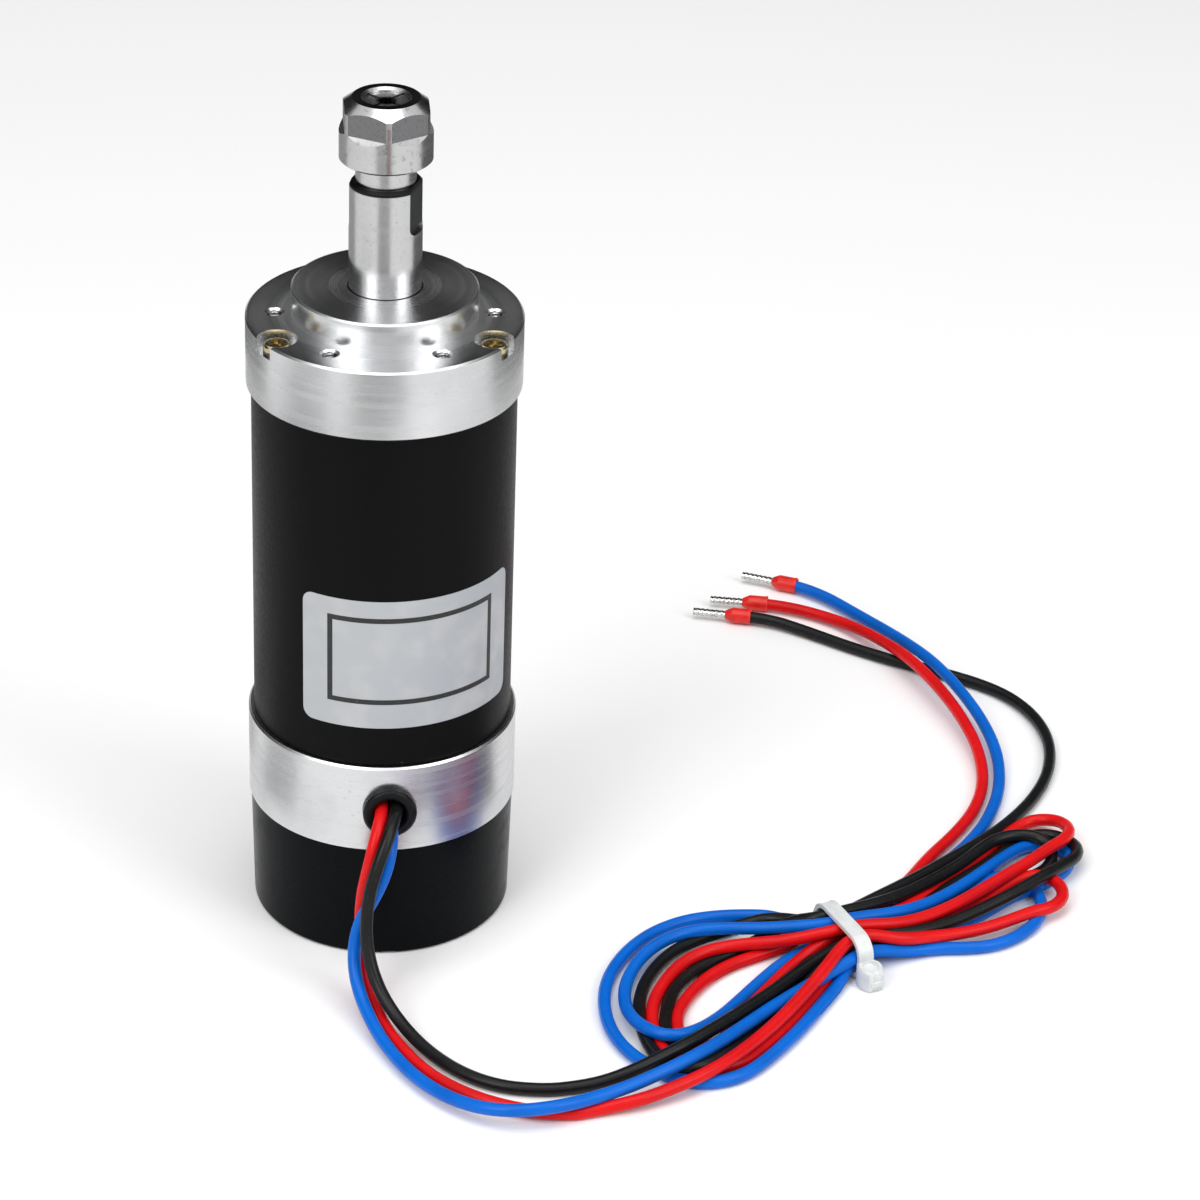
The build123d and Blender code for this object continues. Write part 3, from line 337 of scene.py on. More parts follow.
def make_lead(name, points):
    """One lead as a bevelled open NURBS spline. Its thickness is in its points' radius, because
    Blender counts that radius in the object's box."""
    data = bpy.data.curves.new(name, "CURVE")
    data.dimensions = "3D"
    spline = data.splines.new("NURBS")
    spline.points.add(len(points) - 1)
    for point, place in zip(spline.points, points):
        point.co = (*(Vector(place) * MM), 1)
        point.radius = LEAD_RADIUS * MM
    spline.order_u = 3
    spline.use_endpoint_u = True
    spline.resolution_u = 8
    data.bevel_depth = 1.0
    data.bevel_resolution = 4
    data.use_fill_caps = True
    return show(name, data)


LEAD_POINTS = lead_routes()
leads = {color: make_lead(f"{color}_lead", points) for color, points in LEAD_POINTS.items()}

# -------------------- mesh pieces


def shell(name, bands, sharp_angle=35):
    """A mesh of one or more skins. A band is (rows, around, along): rows of points, joined round each
    row if around is true, and joined from the last row to the first if along is true."""
    vertices, faces = [], []
    for rows, around, along in bands:
        count = len(rows[0])
        start = len(vertices)
        for row in rows:
            vertices += [Vector(point) * MM for point in row]
        for index in range(len(rows) if along else len(rows) - 1):
            here, there = start + index * count, start + (index + 1) % len(rows) * count
            for side in range(count if around else count - 1):
                after = (side + 1) % count
                faces.append((here + side, here + after, there + after, there + side))
        if around and not along:
            faces.append(tuple(range(start + count - 1, start - 1, -1)))
            faces.append(tuple(range(start + (len(rows) - 1) * count, start + len(rows) * count)))
    mesh = bpy.data.meshes.new(name)
    mesh.from_pydata(vertices, [], faces)
    work = bmesh.new()
    work.from_mesh(mesh)
    bmesh.ops.remove_doubles(work, verts=work.verts, dist=1e-7)
    bmesh.ops.recalc_face_normals(work, faces=work.faces)
    work.to_mesh(mesh)
    work.free()
    mesh.shade_smooth()
    mesh.set_sharp_from_angle(angle=math.radians(sharp_angle))
    return show(name, mesh)


# the cable tie: a band round the turns, with raised rims, and a lock with a pocket
TIE_HALF_WIDTH = 9.3      # inside
TIE_INNER_HEIGHT = 7.2
TIE_THICKNESS = 1.2
TIE_LOW_CORNER, TIE_HIGH_CORNER = 1.8, 3.4
# half of the band's section, as (across the band, out from its inner face)
TIE_HALF_SECTION = [(1.62, 0.0), (1.8, 0.18), (1.8, 1.02), (1.66, 1.2), (1.4, 1.2), (1.22, 1.0)]
# half of the lock's outline, as (along the leads, out from the band)
LOCK_HALF_OUTLINE = [(1.7, 0.2), (2.0, -0.5), (2.8, -2.0), (2.8, -3.5), (1.75, -5.7), (0.9, -6.0),
                     (0.65, -5.65)]
LOCK_MIDDLE = -3.0        # what its outline shrinks towards
# the lock from its foot up, over its rim and down into its pocket, as (height, share of the outline)
LOCK_LEVELS = [(0.0, 0.88), (0.35, 0.97), (0.9, 1.0), (4.1, 1.0), (4.7, 0.95), (5.0, 0.84),
               (5.0, 0.60), (4.3, 0.54)]
# the cut end of the strap behind the lock, as (along the leads, height)
STUB_SECTION = [(-1.2, 1.5), (1.7, 1.5), (1.7, 2.6), (-1.2, 2.6)]
STUB_REACHES = (5.0, 6.1, 6.2)


def tie_point(along, sideways, height):
    """A point in the tie's own directions, on the floor's frame."""
    cos, sin = math.cos(TIE_AZIMUTH), math.sin(TIE_AZIMUTH)
    return Vector((TIE_CENTRE[0] + along * cos - sideways * sin,
                   TIE_CENTRE[1] + along * sin + sideways * cos, height))


def tie_loop(steps=8):
    """(sideways, height, outward direction) round the tie's inner face."""
    low, high = TIE_THICKNESS, TIE_THICKNESS + TIE_INNER_HEIGHT
    for side, height, radius, start in (
        (1, low, TIE_LOW_CORNER, -90), (1, high, TIE_HIGH_CORNER, 0),
        (-1, high, TIE_HIGH_CORNER, 90), (-1, low, TIE_LOW_CORNER, 180),
    ):
        middle = Vector((side * (TIE_HALF_WIDTH - radius), height + (radius if height == low else -radius)))
        for step in range(steps + 1):
            angle = math.radians(start + 90 * step / steps)
            out = Vector((math.cos(angle), math.sin(angle)))
            yield middle + radius * out, out


band_section = TIE_HALF_SECTION + [(-across, out) for across, out in reversed(TIE_HALF_SECTION)]
band_rows = [[tie_point(across, *(place + out * way)) for across, out in band_section]
             for place, way in tie_loop()]
lock_outline = LOCK_HALF_OUTLINE + [(-along, out) for along, out in reversed(LOCK_HALF_OUTLINE)]
lock_rows = [[tie_point(along * share, -TIE_HALF_WIDTH + LOCK_MIDDLE + (out - LOCK_MIDDLE) * share, height)
              for along, out in lock_outline] for height, share in LOCK_LEVELS]
stub_rows = [[tie_point(along, -TIE_HALF_WIDTH - reach, height) for along, height in STUB_SECTION]
             for reach in STUB_REACHES]
cable_tie = shell("tie", [(band_rows, True, True), (lock_rows, True, False), (stub_rows, True, False)])
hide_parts("cable_tie")

# ferrules: a collar turned from (distance from the mouth, radius), and a crimped pin
COLLAR_OUTLINE = [
    (4.6, 0.0), (4.6, 1.5), (0.3, 1.5), (0.05, 1.7), (0.0, 1.85), (0.12, 1.97), (0.5, 1.98), (0.75, 1.9),
    (4.5, 1.9), (4.75, 1.84), (6.2, 1.12), (6.4, 0.95), (6.4, 0.0),
]
COLLAR_LENGTH = 6.4
PIN_LENGTH = 8.0
PIN_HALF_WIDTH, PIN_HALF_HEIGHT = 0.95, 0.8
PIN_OVERLAP = 0.3         # of the pin inside the collar's end
PIN_CRIMPS = 7
CRIMP_STEPS = 8
CRIMP_DEPTH = 0.2
CRIMP_FLANK_SHARE = 0.6   # of the crimps' depth, on the pin's sides
PIN_END_CHAMFER = 0.25
# the pin's section, as shares of its half width and half height
PIN_SECTION = [(1, -0.5), (1, 0.5), (0.62, 1), (0, 0.86), (-0.62, 1), (-1, 0.5), (-1, -0.5), (-0.62, -1),
               (0, -0.86), (0.62, -1)]
COLLAR_SIDES = 32
AXIS_RADIUS = 0.02        # smallest radius of a turned outline


def ferrule(color):
    """Collar and pin of one lead, in place of the plain ones."""
    mouth, way, _ = ferrule_points(color)
    side = way.cross(Vector((0, 0, 1)))
    rows = []
    for distance, radius in COLLAR_OUTLINE:
        turn = [2 * math.pi * step / COLLAR_SIDES for step in range(COLLAR_SIDES)]
        rows.append([mouth + distance * way + max(radius, AXIS_RADIUS) *
                     (math.cos(angle) * side + math.sin(angle) * Vector((0, 0, 1))) for angle in turn])
    collar = shell(f"{color}_collar", [(rows, True, False)], sharp_angle=50)
    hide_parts(f"ferrule_collar_{color}")
    rows = []
    steps = CRIMP_STEPS * PIN_CRIMPS
    for step in range(steps + 1):
        phase = 2 * math.pi * step / CRIMP_STEPS
        top = CRIMP_DEPTH * (0.5 - 0.5 * math.cos(phase))
        flank = CRIMP_FLANK_SHARE * CRIMP_DEPTH * (0.5 + 0.5 * math.cos(phase))
        end = PIN_END_CHAMFER if step in (0, steps) else 0.0
        wide, high = PIN_HALF_WIDTH - flank - end, PIN_HALF_HEIGHT - top - end
        centre = mouth + (COLLAR_LENGTH - PIN_OVERLAP + (PIN_LENGTH + PIN_OVERLAP) * step / steps) * way
        rows.append([centre + x * wide * side + Vector((0, 0, z * high)) for x, z in PIN_SECTION])
    pin = shell(f"{color}_pin", [(rows, True, False)], sharp_angle=25)
    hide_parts(f"ferrule_pin_{color}")
    return collar, pin


ferrules = {color: ferrule(color) for color in leads}

# the sticker on the motor tube, and the frame printed on it
TUBE_RADIUS = 27.5
LABEL_LEVELS = (56.4, 86.5)
LABEL_AZIMUTHS = (-40.0, 64.0)
LABEL_THICKNESS = 0.12
LABEL_CORNER = 2.4
PATCH_STEP = 1.2          # length of a facet round the tube
FRAME_LEVELS = (62.1, 82.6)
FRAME_AZIMUTHS = (-27.8, 51.0)
FRAME_WIDTH = 1.15
INK_THICKNESS = 0.02


def around_tube(azimuth, radius, height):
    """A point by its azimuth and its distance from the spindle axis."""
    angle = math.radians(azimuth)
    return Vector((radius * math.sin(angle), -radius * math.cos(angle), height))


def patch(levels, azimuths, lift, thickness, corner=0.0):
    """Rows of a curved sheet that starts lift above the tube, with rounded corners."""
    per_degree = math.radians(1) * TUBE_RADIUS
    span = (azimuths[1] - azimuths[0]) * per_degree
    ends = [corner * (1 - math.cos(math.radians(angle))) for angle in range(0, 91, 15)] if corner else [0.0]
    count = max(int(span / PATCH_STEP), 2)
    middle = [ends[-1] + (span - 2 * ends[-1]) * step / count for step in range(1, count)]
    rows = []
    for place in ends + middle + [span - end for end in reversed(ends)]:
        edge = min(place, span - place)
        drop = corner - math.sqrt(max(corner ** 2 - (corner - edge) ** 2, 0)) if edge < corner else 0.0
        azimuth = azimuths[0] + place / per_degree
        low, high = levels[0] + drop, levels[1] - drop
        rows.append([around_tube(azimuth, TUBE_RADIUS + out, height) for out, height in (
            (lift, low), (lift + thickness, low), (lift + thickness, high), (lift, high))])
    return rows, True, False


shell("label", [patch(LABEL_LEVELS, LABEL_AZIMUTHS, 0.0, LABEL_THICKNESS, LABEL_CORNER)])
frame_turn = math.degrees(FRAME_WIDTH / TUBE_RADIUS)
(low, high), (left, right) = FRAME_LEVELS, FRAME_AZIMUTHS
frame_bars = [
    ((low, low + FRAME_WIDTH), (left, right)),
    ((high - FRAME_WIDTH, high), (left, right)),
    ((low + FRAME_WIDTH, high - FRAME_WIDTH), (left, left + frame_turn)),
    ((low + FRAME_WIDTH, high - FRAME_WIDTH), (right - frame_turn, right)),
]
shell("label_frame", [patch(levels, azimuths, LABEL_THICKNESS, INK_THICKNESS)
                      for levels, azimuths in frame_bars])

# thread ridges in the six mounting holes
FLANGE_TOP = 139.0
MOUNT_CIRCLE = 22.5
MOUNT_AZIMUTH = 27.5
THREAD_PITCH = 0.7
THREAD_RADIUS = 1.65
THREAD_DEPTH = 0.24
THREAD_TURNS = 7
THREAD_STEPS = 20         # a turn
THREAD_START = 0.75       # below the flange's face
THREAD_HALF_WIDTH = 0.28
THREAD_ROOT = THREAD_RADIUS + 0.05    # the ridge starts inside the hole's wall


def thread(azimuth):
    """Rows of one helical ridge that stands in from a hole's wall."""
    middle = around_tube(azimuth, MOUNT_CIRCLE, FLANGE_TOP - THREAD_START)
    rows = []
    for step in range(THREAD_STEPS * THREAD_TURNS + 1):
        angle = 2 * math.pi * step / THREAD_STEPS
        drop = THREAD_PITCH * step / THREAD_STEPS
        radial = heading(angle)
        rows.append([middle + radial * radius - Vector((0, 0, drop + height)) for radius, height in (
            (THREAD_ROOT, -THREAD_HALF_WIDTH), (THREAD_RADIUS - THREAD_DEPTH, 0.0),
            (THREAD_ROOT, THREAD_HALF_WIDTH))])
    return rows, True, False


shell("mount_threads", [thread(MOUNT_AZIMUTH + 60 * hole) for hole in range(6)], sharp_angle=30)

# -------------------- materials


class Paint:
    """A node material as it is put together. Places and sizes are in millimetres."""

    def __init__(self, name, color, roughness, **settings):
        """A material with a plain surface; settings are other inputs of its shader."""
        self.material = bpy.data.materials.new(name)
        self.material.use_nodes = True
        self.tree = self.material.node_tree
        self.shader = self.tree.nodes["Principled BSDF"]
        self.color, self.roughness, self.normal = (*color, 1), roughness, None
        for key, value in settings.items():
            self.shader.inputs[key.replace("_", " ")].default_value = value
        texture = self.add("ShaderNodeTexCoord")
        self.place = self.add("ShaderNodeVectorMath", {0: texture.outputs["Object"], "Scale": 1000.0},
                              operation="SCALE").outputs[0]
        self.facing = texture.outputs["Normal"]

    def add(self, kind, inputs=None, **settings):
        """A new node, with its inputs and its settings."""
        node = self.tree.nodes.new(kind)
        for key, value in settings.items():
            setattr(node, key, value)
        for key, value in (inputs or {}).items():
            self.feed(node.inputs[key], value)
        return node

    def feed(self, socket, value):
        """Link a socket to a node's output, or set it to a value."""
        if isinstance(value, bpy.types.NodeSocket):
            self.tree.links.new(value, socket)
        else:
            socket.default_value = value

    def math(self, operation, first, second=0.0):
        """What a maths node makes of one or two numbers."""
        return self.add("ShaderNodeMath", {0: first, 1: second}, operation=operation).outputs[0]

    def vector(self, operation, first, second, output=0):
        """What a vector maths node makes of two vectors."""
        return self.add("ShaderNodeVectorMath", {0: first, 1: second}, operation=operation).outputs[output]

    def all_of(self, *masks):
        """The product of masks."""
        result = masks[0]
        for mask in masks[1:]:
            result = self.math("MULTIPLY", result, mask)
        return result

    def upright(self, limit):
        """1 where the surface is a wall."""
        return self.math("LESS_THAN", self.math("ABSOLUTE", self.split(self.facing)[2]), limit)

    def stretched(self, scale):
        """The place, scaled along each axis."""
        return self.vector("MULTIPLY", self.place, scale)

    def noise(self, size, vector=None, detail=3.0, roughness=0.55):
        """Noise from 0 to 1 whose features are about size across."""
        return self.add("ShaderNodeTexNoise", {
            "Vector": self.place if vector is None else vector, "Scale": 1 / size,
            "Detail": detail, "Roughness": roughness}).outputs[0]

    def between(self, value, low, high):
        """Value taken from low..high to 0..1 with soft ends."""
        return self.add("ShaderNodeMapRange", {0: value, 1: low, 2: high},
                        interpolation_type="SMOOTHSTEP").outputs[0]

    def split(self, vector):
        """The vector's three parts."""
        return self.add("ShaderNodeSeparateXYZ", {0: vector}).outputs

    def lathe(self):
        """(distance from the spindle axis, 0, height), and that distance and height."""
        x, y, z = self.split(self.place)
        squares = [self.math("MULTIPLY", part, part) for part in (x, y)]
        radius = self.math("SQRT", self.math("ADD", *squares))
        return self.add("ShaderNodeCombineXYZ", {0: radius, 2: z}).outputs[0], radius, z

    def outwards(self):
        """How far from the axis the plane lies that a vertical facet is part of."""
        return self.vector("DOT_PRODUCT", self.place, self.vector("MULTIPLY", self.facing, (1, 1, 0)), 1)

    def above(self, level):
        """Height above a level."""
        return self.math("SUBTRACT", self.split(self.place)[2], level)

    def specks(self, cell, radius, share):
        """Sparse round specks, 1 inside a speck."""
        cells = self.add("ShaderNodeTexVoronoi", {"Vector": self.place, "Scale": 1 / cell})
        chosen = self.math("GREATER_THAN", self.split(cells.outputs["Color"])[0], 1 - share)
        size = self.math("MULTIPLY", self.split(cells.outputs["Color"])[1], radius / cell)
        return self.math("MULTIPLY", chosen, self.math("LESS_THAN", cells.outputs["Distance"], size))

    def tint(self, factor, color):
        """Lay a colour over the present one."""
        mix = self.add("ShaderNodeMix", {0: factor, 6: self.color, 7: (*color, 1)}, data_type="RGBA")
        self.color = mix.outputs[2]

    def mottle(self, size, detail, start, full, color):
        """Let the colour wander to another, laid on as noise rises from start to full."""
        self.tint(self.between(self.noise(size, detail=detail), start, full), color)

    def roughen(self, factor, roughness):
        """Lay a roughness over the present one."""
        mix = self.add("ShaderNodeMix", {0: factor, 2: self.roughness, 3: roughness})
        self.roughness = mix.outputs[0]

    def bump(self, height, depth, strength=1.0):
        """Raise the surface by up to depth millimetres."""
        inputs = {"Strength": strength, "Distance": depth * MM, "Height": height}
        if self.normal is not None:
            inputs["Normal"] = self.normal
        self.normal = self.add("ShaderNodeBump", inputs).outputs[0]

    def dust(self, cell, radius, share, color=(0.75, 0.75, 0.74), metal=False):
        """Pale dust specks; on metal they are not metallic."""
        speck = self.specks(cell, radius, share)
        self.tint(speck, color)
        self.roughen(speck, 0.8)
        if metal:
            self.feed(self.shader.inputs["Metallic"], self.math("SUBTRACT", 1.0, speck))

    def done(self):
        """The finished material."""
        self.feed(self.shader.inputs["Base Color"], self.color)
        self.feed(self.shader.inputs["Roughness"], self.roughness)
        if self.normal is not None:
            self.feed(self.shader.inputs["Normal"], self.normal)
        return self.material


def turned_metal(name, color, roughness, anisotropy=0.0, **settings):
    """Metal with lathe marks round the spindle axis."""
    paint = Paint(name, color, roughness, Metallic=1.0, Anisotropic=anisotropy, **settings)
    if anisotropy:
        tangent = paint.add("ShaderNodeTangent", direction_type="RADIAL", axis="Z")
        paint.feed(paint.shader.inputs["Tangent"], tangent.outputs[0])
    section, radius, height = paint.lathe()
    paint.radius, paint.height = radius, height
    paint.bump(paint.noise(0.35, section, detail=2.0), 0.004)
    band = paint.noise(2.6, section, detail=2.0)
    paint.roughen(paint.between(band, 0.35, 0.75), roughness + 0.08)
    return paint


def aluminium():
    """The flange and the rear ring."""
    paint = turned_metal("aluminium", (0.66, 0.665, 0.672), 0.24, anisotropy=0.60)
    paint.mottle(14, 3, 0.45, 0.75, (0.58, 0.585, 0.595))
    paint.mottle(0.9, 5, 0.62, 0.72, (0.54, 0.54, 0.54))
    paint.dust(1.7, 0.13, 0.10, metal=True)
    return paint.done()


FLAT_DISTANCE = 6.5       # of a wrench flat from the axis
SHOULDER_TOP = 168.6
SHAFT_BLACKENING = 167.35, 167.6      # where the shoulder's black edge starts


def shaft_steel():
    """Ground steel, with two darker wrench flats and a blackened shoulder."""
    paint = turned_metal("shaft_steel", (0.52, 0.52, 0.525), 0.2, anisotropy=0.5)
    paint.mottle(0.5, 4, 0.60, 0.70, (0.33, 0.33, 0.33))
    milled = paint.math("LESS_THAN", paint.outwards(), FLAT_DISTANCE + 0.4)
    low = paint.math("LESS_THAN", paint.height, SHOULDER_TOP + 0.1)
    flat = paint.all_of(milled, paint.upright(0.3), low)
    paint.tint(flat, (0.075, 0.078, 0.08))
    paint.roughen(flat, 0.42)
    shoulder = paint.all_of(paint.between(paint.height, *SHAFT_BLACKENING), low)
    paint.tint(shoulder, (0.018, 0.018, 0.018))
    paint.roughen(shoulder, 0.4)
    return paint.done()


NUT_FACE = 186.2
NUT_FLAT_DISTANCES = 7.6, 9.0         # from the axis, on both sides of the flats at 8.5
NUT_STAIN_TOP = 183.0
NUT_STAIN_FRONT = -7.0                # y


def nut_steel():
    """Ground steel, with six grainy milled flats, a dark end face and a stain on the front corner."""
    paint = turned_metal("nut_steel", (0.50, 0.50, 0.505), 0.2, anisotropy=0.45)
    paint.mottle(1.1, 5, 0.56, 0.68, (0.36, 0.36, 0.365))
    depth = paint.outwards()
    flat = paint.all_of(paint.upright(0.25), paint.math("GREATER_THAN", depth, NUT_FLAT_DISTANCES[0]),
                        paint.math("LESS_THAN", depth, NUT_FLAT_DISTANCES[1]))
    grain = paint.noise(0.5, detail=6.0, roughness=0.7)
    paint.tint(flat, (0.20, 0.20, 0.205))
    paint.tint(paint.math("MULTIPLY", flat, paint.between(grain, 0.5, 0.7)), (0.12, 0.12, 0.122))
    paint.roughen(flat, 0.46)
    paint.bump(paint.math("MULTIPLY", flat, paint.noise(0.16, paint.stretched((1, 1, 5)))), 0.012)
    face = paint.all_of(paint.math("GREATER_THAN", paint.split(paint.facing)[2], 0.9),
                        paint.math("GREATER_THAN", paint.height, NUT_FACE - 0.1))
    paint.tint(face, (0.055, 0.056, 0.06))
    paint.roughen(face, 0.3)
    x, y, _ = paint.split(paint.place)
    front = paint.all_of(paint.math("LESS_THAN", y, NUT_STAIN_FRONT),
                         paint.math("LESS_THAN", paint.height, NUT_STAIN_TOP))
    wander = paint.math("ADD", x, paint.math("MULTIPLY", paint.noise(2.0), 0.5))
    streak = paint.between(paint.math("ABSOLUTE", paint.math("SUBTRACT", wander, 0.25)), 0.75, 0.1)
    paint.tint(paint.all_of(front, streak, 0.55), (0.22, 0.12, 0.10))
    return paint.done()


COLLET_BORE_SHADE = 2.3, 1.75          # radii between which painted shade darkens the collet towards its bore


def collet_steel():
    """Stained steel, with painted shade that darkens it towards the bore."""
    paint = turned_metal("collet_steel", (0.52, 0.51, 0.50), 0.26)
    paint.mottle(0.6, 5, 0.52, 0.64, (0.26, 0.255, 0.25))
    # painted shade, darkening the collet towards its bore
    paint.tint(paint.between(paint.radius, *COLLET_BORE_SHADE), (0.07, 0.07, 0.07))
    return paint.done()


SCREW_SHADE_TOP = 137.0         # below it painted shade darkens the flange screws, down in their recesses


def zinc_screw():
    """Yellow zinc plating, with pink and pale blotches, and painted shade on the screws down in the
    flange's recesses.
    """
    paint = Paint("zinc_screw", (0.72, 0.62, 0.38), 0.24, Metallic=1.0)
    paint.mottle(1.3, 4, 0.45, 0.62, (0.52, 0.46, 0.30))
    paint.mottle(0.8, 4, 0.56, 0.70, (0.70, 0.42, 0.26))
    # painted shade: the screws darken below the flange's face, down in their recesses
    paint.tint(paint.between(paint.above(SCREW_SHADE_TOP), 0.0, -0.4), (0.10, 0.09, 0.06))
    paint.bump(paint.noise(0.25, detail=5.0), 0.02)
    return paint.done()


def tube_coating():
    """Black leathery coating of the motor tube."""
    paint = Paint("tube_coating", (0.0035, 0.0036, 0.0038), 0.34, Specular_IOR_Level=0.06)
    grain = paint.noise(0.62, paint.stretched((1, 1, 0.8)), detail=4.0, roughness=0.6)
    paint.bump(grain, 0.05, 0.65)
    paint.bump(paint.noise(6.0, detail=2.0), 0.05, 0.5)
    paint.roughen(paint.between(grain, 0.35, 0.65), 0.43)
    paint.dust(2.6, 0.16, 0.09, (0.42, 0.42, 0.41))
    return paint.done()


def cover_plastic():
    """Smooth black moulding."""
    paint = Paint("cover_plastic", (0.0030, 0.0036, 0.0046), 0.24, Specular_IOR_Level=0.05)
    paint.bump(paint.noise(9.0, detail=2.0), 0.03, 0.5)
    paint.bump(paint.noise(0.2, detail=2.0), 0.0015)
    paint.roughen(paint.between(paint.noise(5.0, detail=5.0), 0.45, 0.7), 0.34)
    paint.dust(3.2, 0.16, 0.10, (0.5, 0.5, 0.49))
    return paint.done()


def grommet_rubber():
    """Black rubber, glossy in places."""
    paint = Paint("grommet_rubber", (0.0040, 0.0043, 0.0050), 0.26, Specular_IOR_Level=0.16)
    paint.bump(paint.noise(0.5, detail=4.0), 0.02)
    paint.roughen(paint.between(paint.noise(1.6), 0.4, 0.7), 0.42)
    paint.dust(2.0, 0.14, 0.10, (0.3, 0.3, 0.3))
    return paint.done()


def insulation(name, color, shade, mottle, dust):
    """Soft glossy wire insulation, slightly uneven along its length."""
    paint = Paint(name, color, 0.32, Specular_IOR_Level=0.16, Coat_Weight=0.05, Coat_Roughness=0.16)
    paint.mottle(11, 2, 0.38, 0.7, shade)
    paint.tint(paint.math("MULTIPLY", paint.between(paint.noise(0.8, detail=5.0), 0.55, 0.75), 0.5), mottle)
    paint.roughen(paint.between(paint.noise(2.2, detail=4.0), 0.45, 0.65), 0.38)
    paint.bump(paint.noise(1.6, detail=3.0), 0.05, 0.6)
    paint.bump(paint.noise(0.3, detail=2.0), 0.004)
    paint.dust(3.0, 0.14, 0.07, dust)
    return paint.done()


def label_foil():
    """The sticker's silver foil, with painted shade that darkens it towards one corner."""
    paint = Paint("label_foil", (0.45, 0.465, 0.48), 0.45, Metallic=0.10, Specular_IOR_Level=0.4)
    x, _, z = paint.split(paint.place)
    # painted shade: the foil darkens and turns bluer towards its lower right corner
    paint.tint(paint.between(paint.math("SUBTRACT", x, paint.math("MULTIPLY", z, 0.35)), -40.0, 0.0),
               (0.41, 0.435, 0.465))
    paint.mottle(9, 2, 0.45, 0.7, (0.49, 0.50, 0.51))
    paint.bump(paint.noise(0.4, detail=4.0), 0.003)
    paint.bump(paint.noise(12.0, detail=1.0), 0.01, 0.6)
    return paint.done()


def mottled(name, color, roughness, mottle, grain, **settings):
    """A plain material whose colour wanders, with a fine grain: (size, detail, depth)."""
    paint = Paint(name, color, roughness, **settings)
    paint.mottle(*mottle)
    size, detail, depth = grain
    paint.bump(paint.noise(size, detail=detail), depth)
    return paint.done()


def inner_metal(name, color, dark, roughness):
    """Metal inside the motor, ground or stamped, with oil stains."""
    paint = turned_metal(name, color, roughness)
    paint.mottle(3, 5, 0.5, 0.7, dark)
    return paint.done()


def core_steel():
    """Stacked sheets, their edges up and down the core."""
    paint = Paint("core_steel", (0.30, 0.30, 0.31), 0.45, Metallic=1.0)
    layers = paint.noise(0.5, paint.stretched((0.001, 0.001, 1.0)), detail=1.0)
    paint.tint(paint.between(layers, 0.5, 0.6), (0.17, 0.165, 0.16))
    paint.bump(layers, 0.05)
    return paint.done()


def winding():
    """Enamelled copper wire, with painted shade in the grooves between its turns."""
    paint = Paint("winding", (0.55, 0.21, 0.07), 0.28, Metallic=0.8, Coat_Weight=0.5)
    wires = paint.add("ShaderNodeTexWave", {"Vector": paint.place, "Scale": 0.22, "Distortion": 0.6},
                      bands_direction="Z")
    # painted shade in the grooves between the wire turns
    paint.tint(paint.between(wires.outputs[1], 0.45, 0.1), (0.20, 0.06, 0.02))
    paint.bump(wires.outputs[1], 0.35)
    return paint.done()


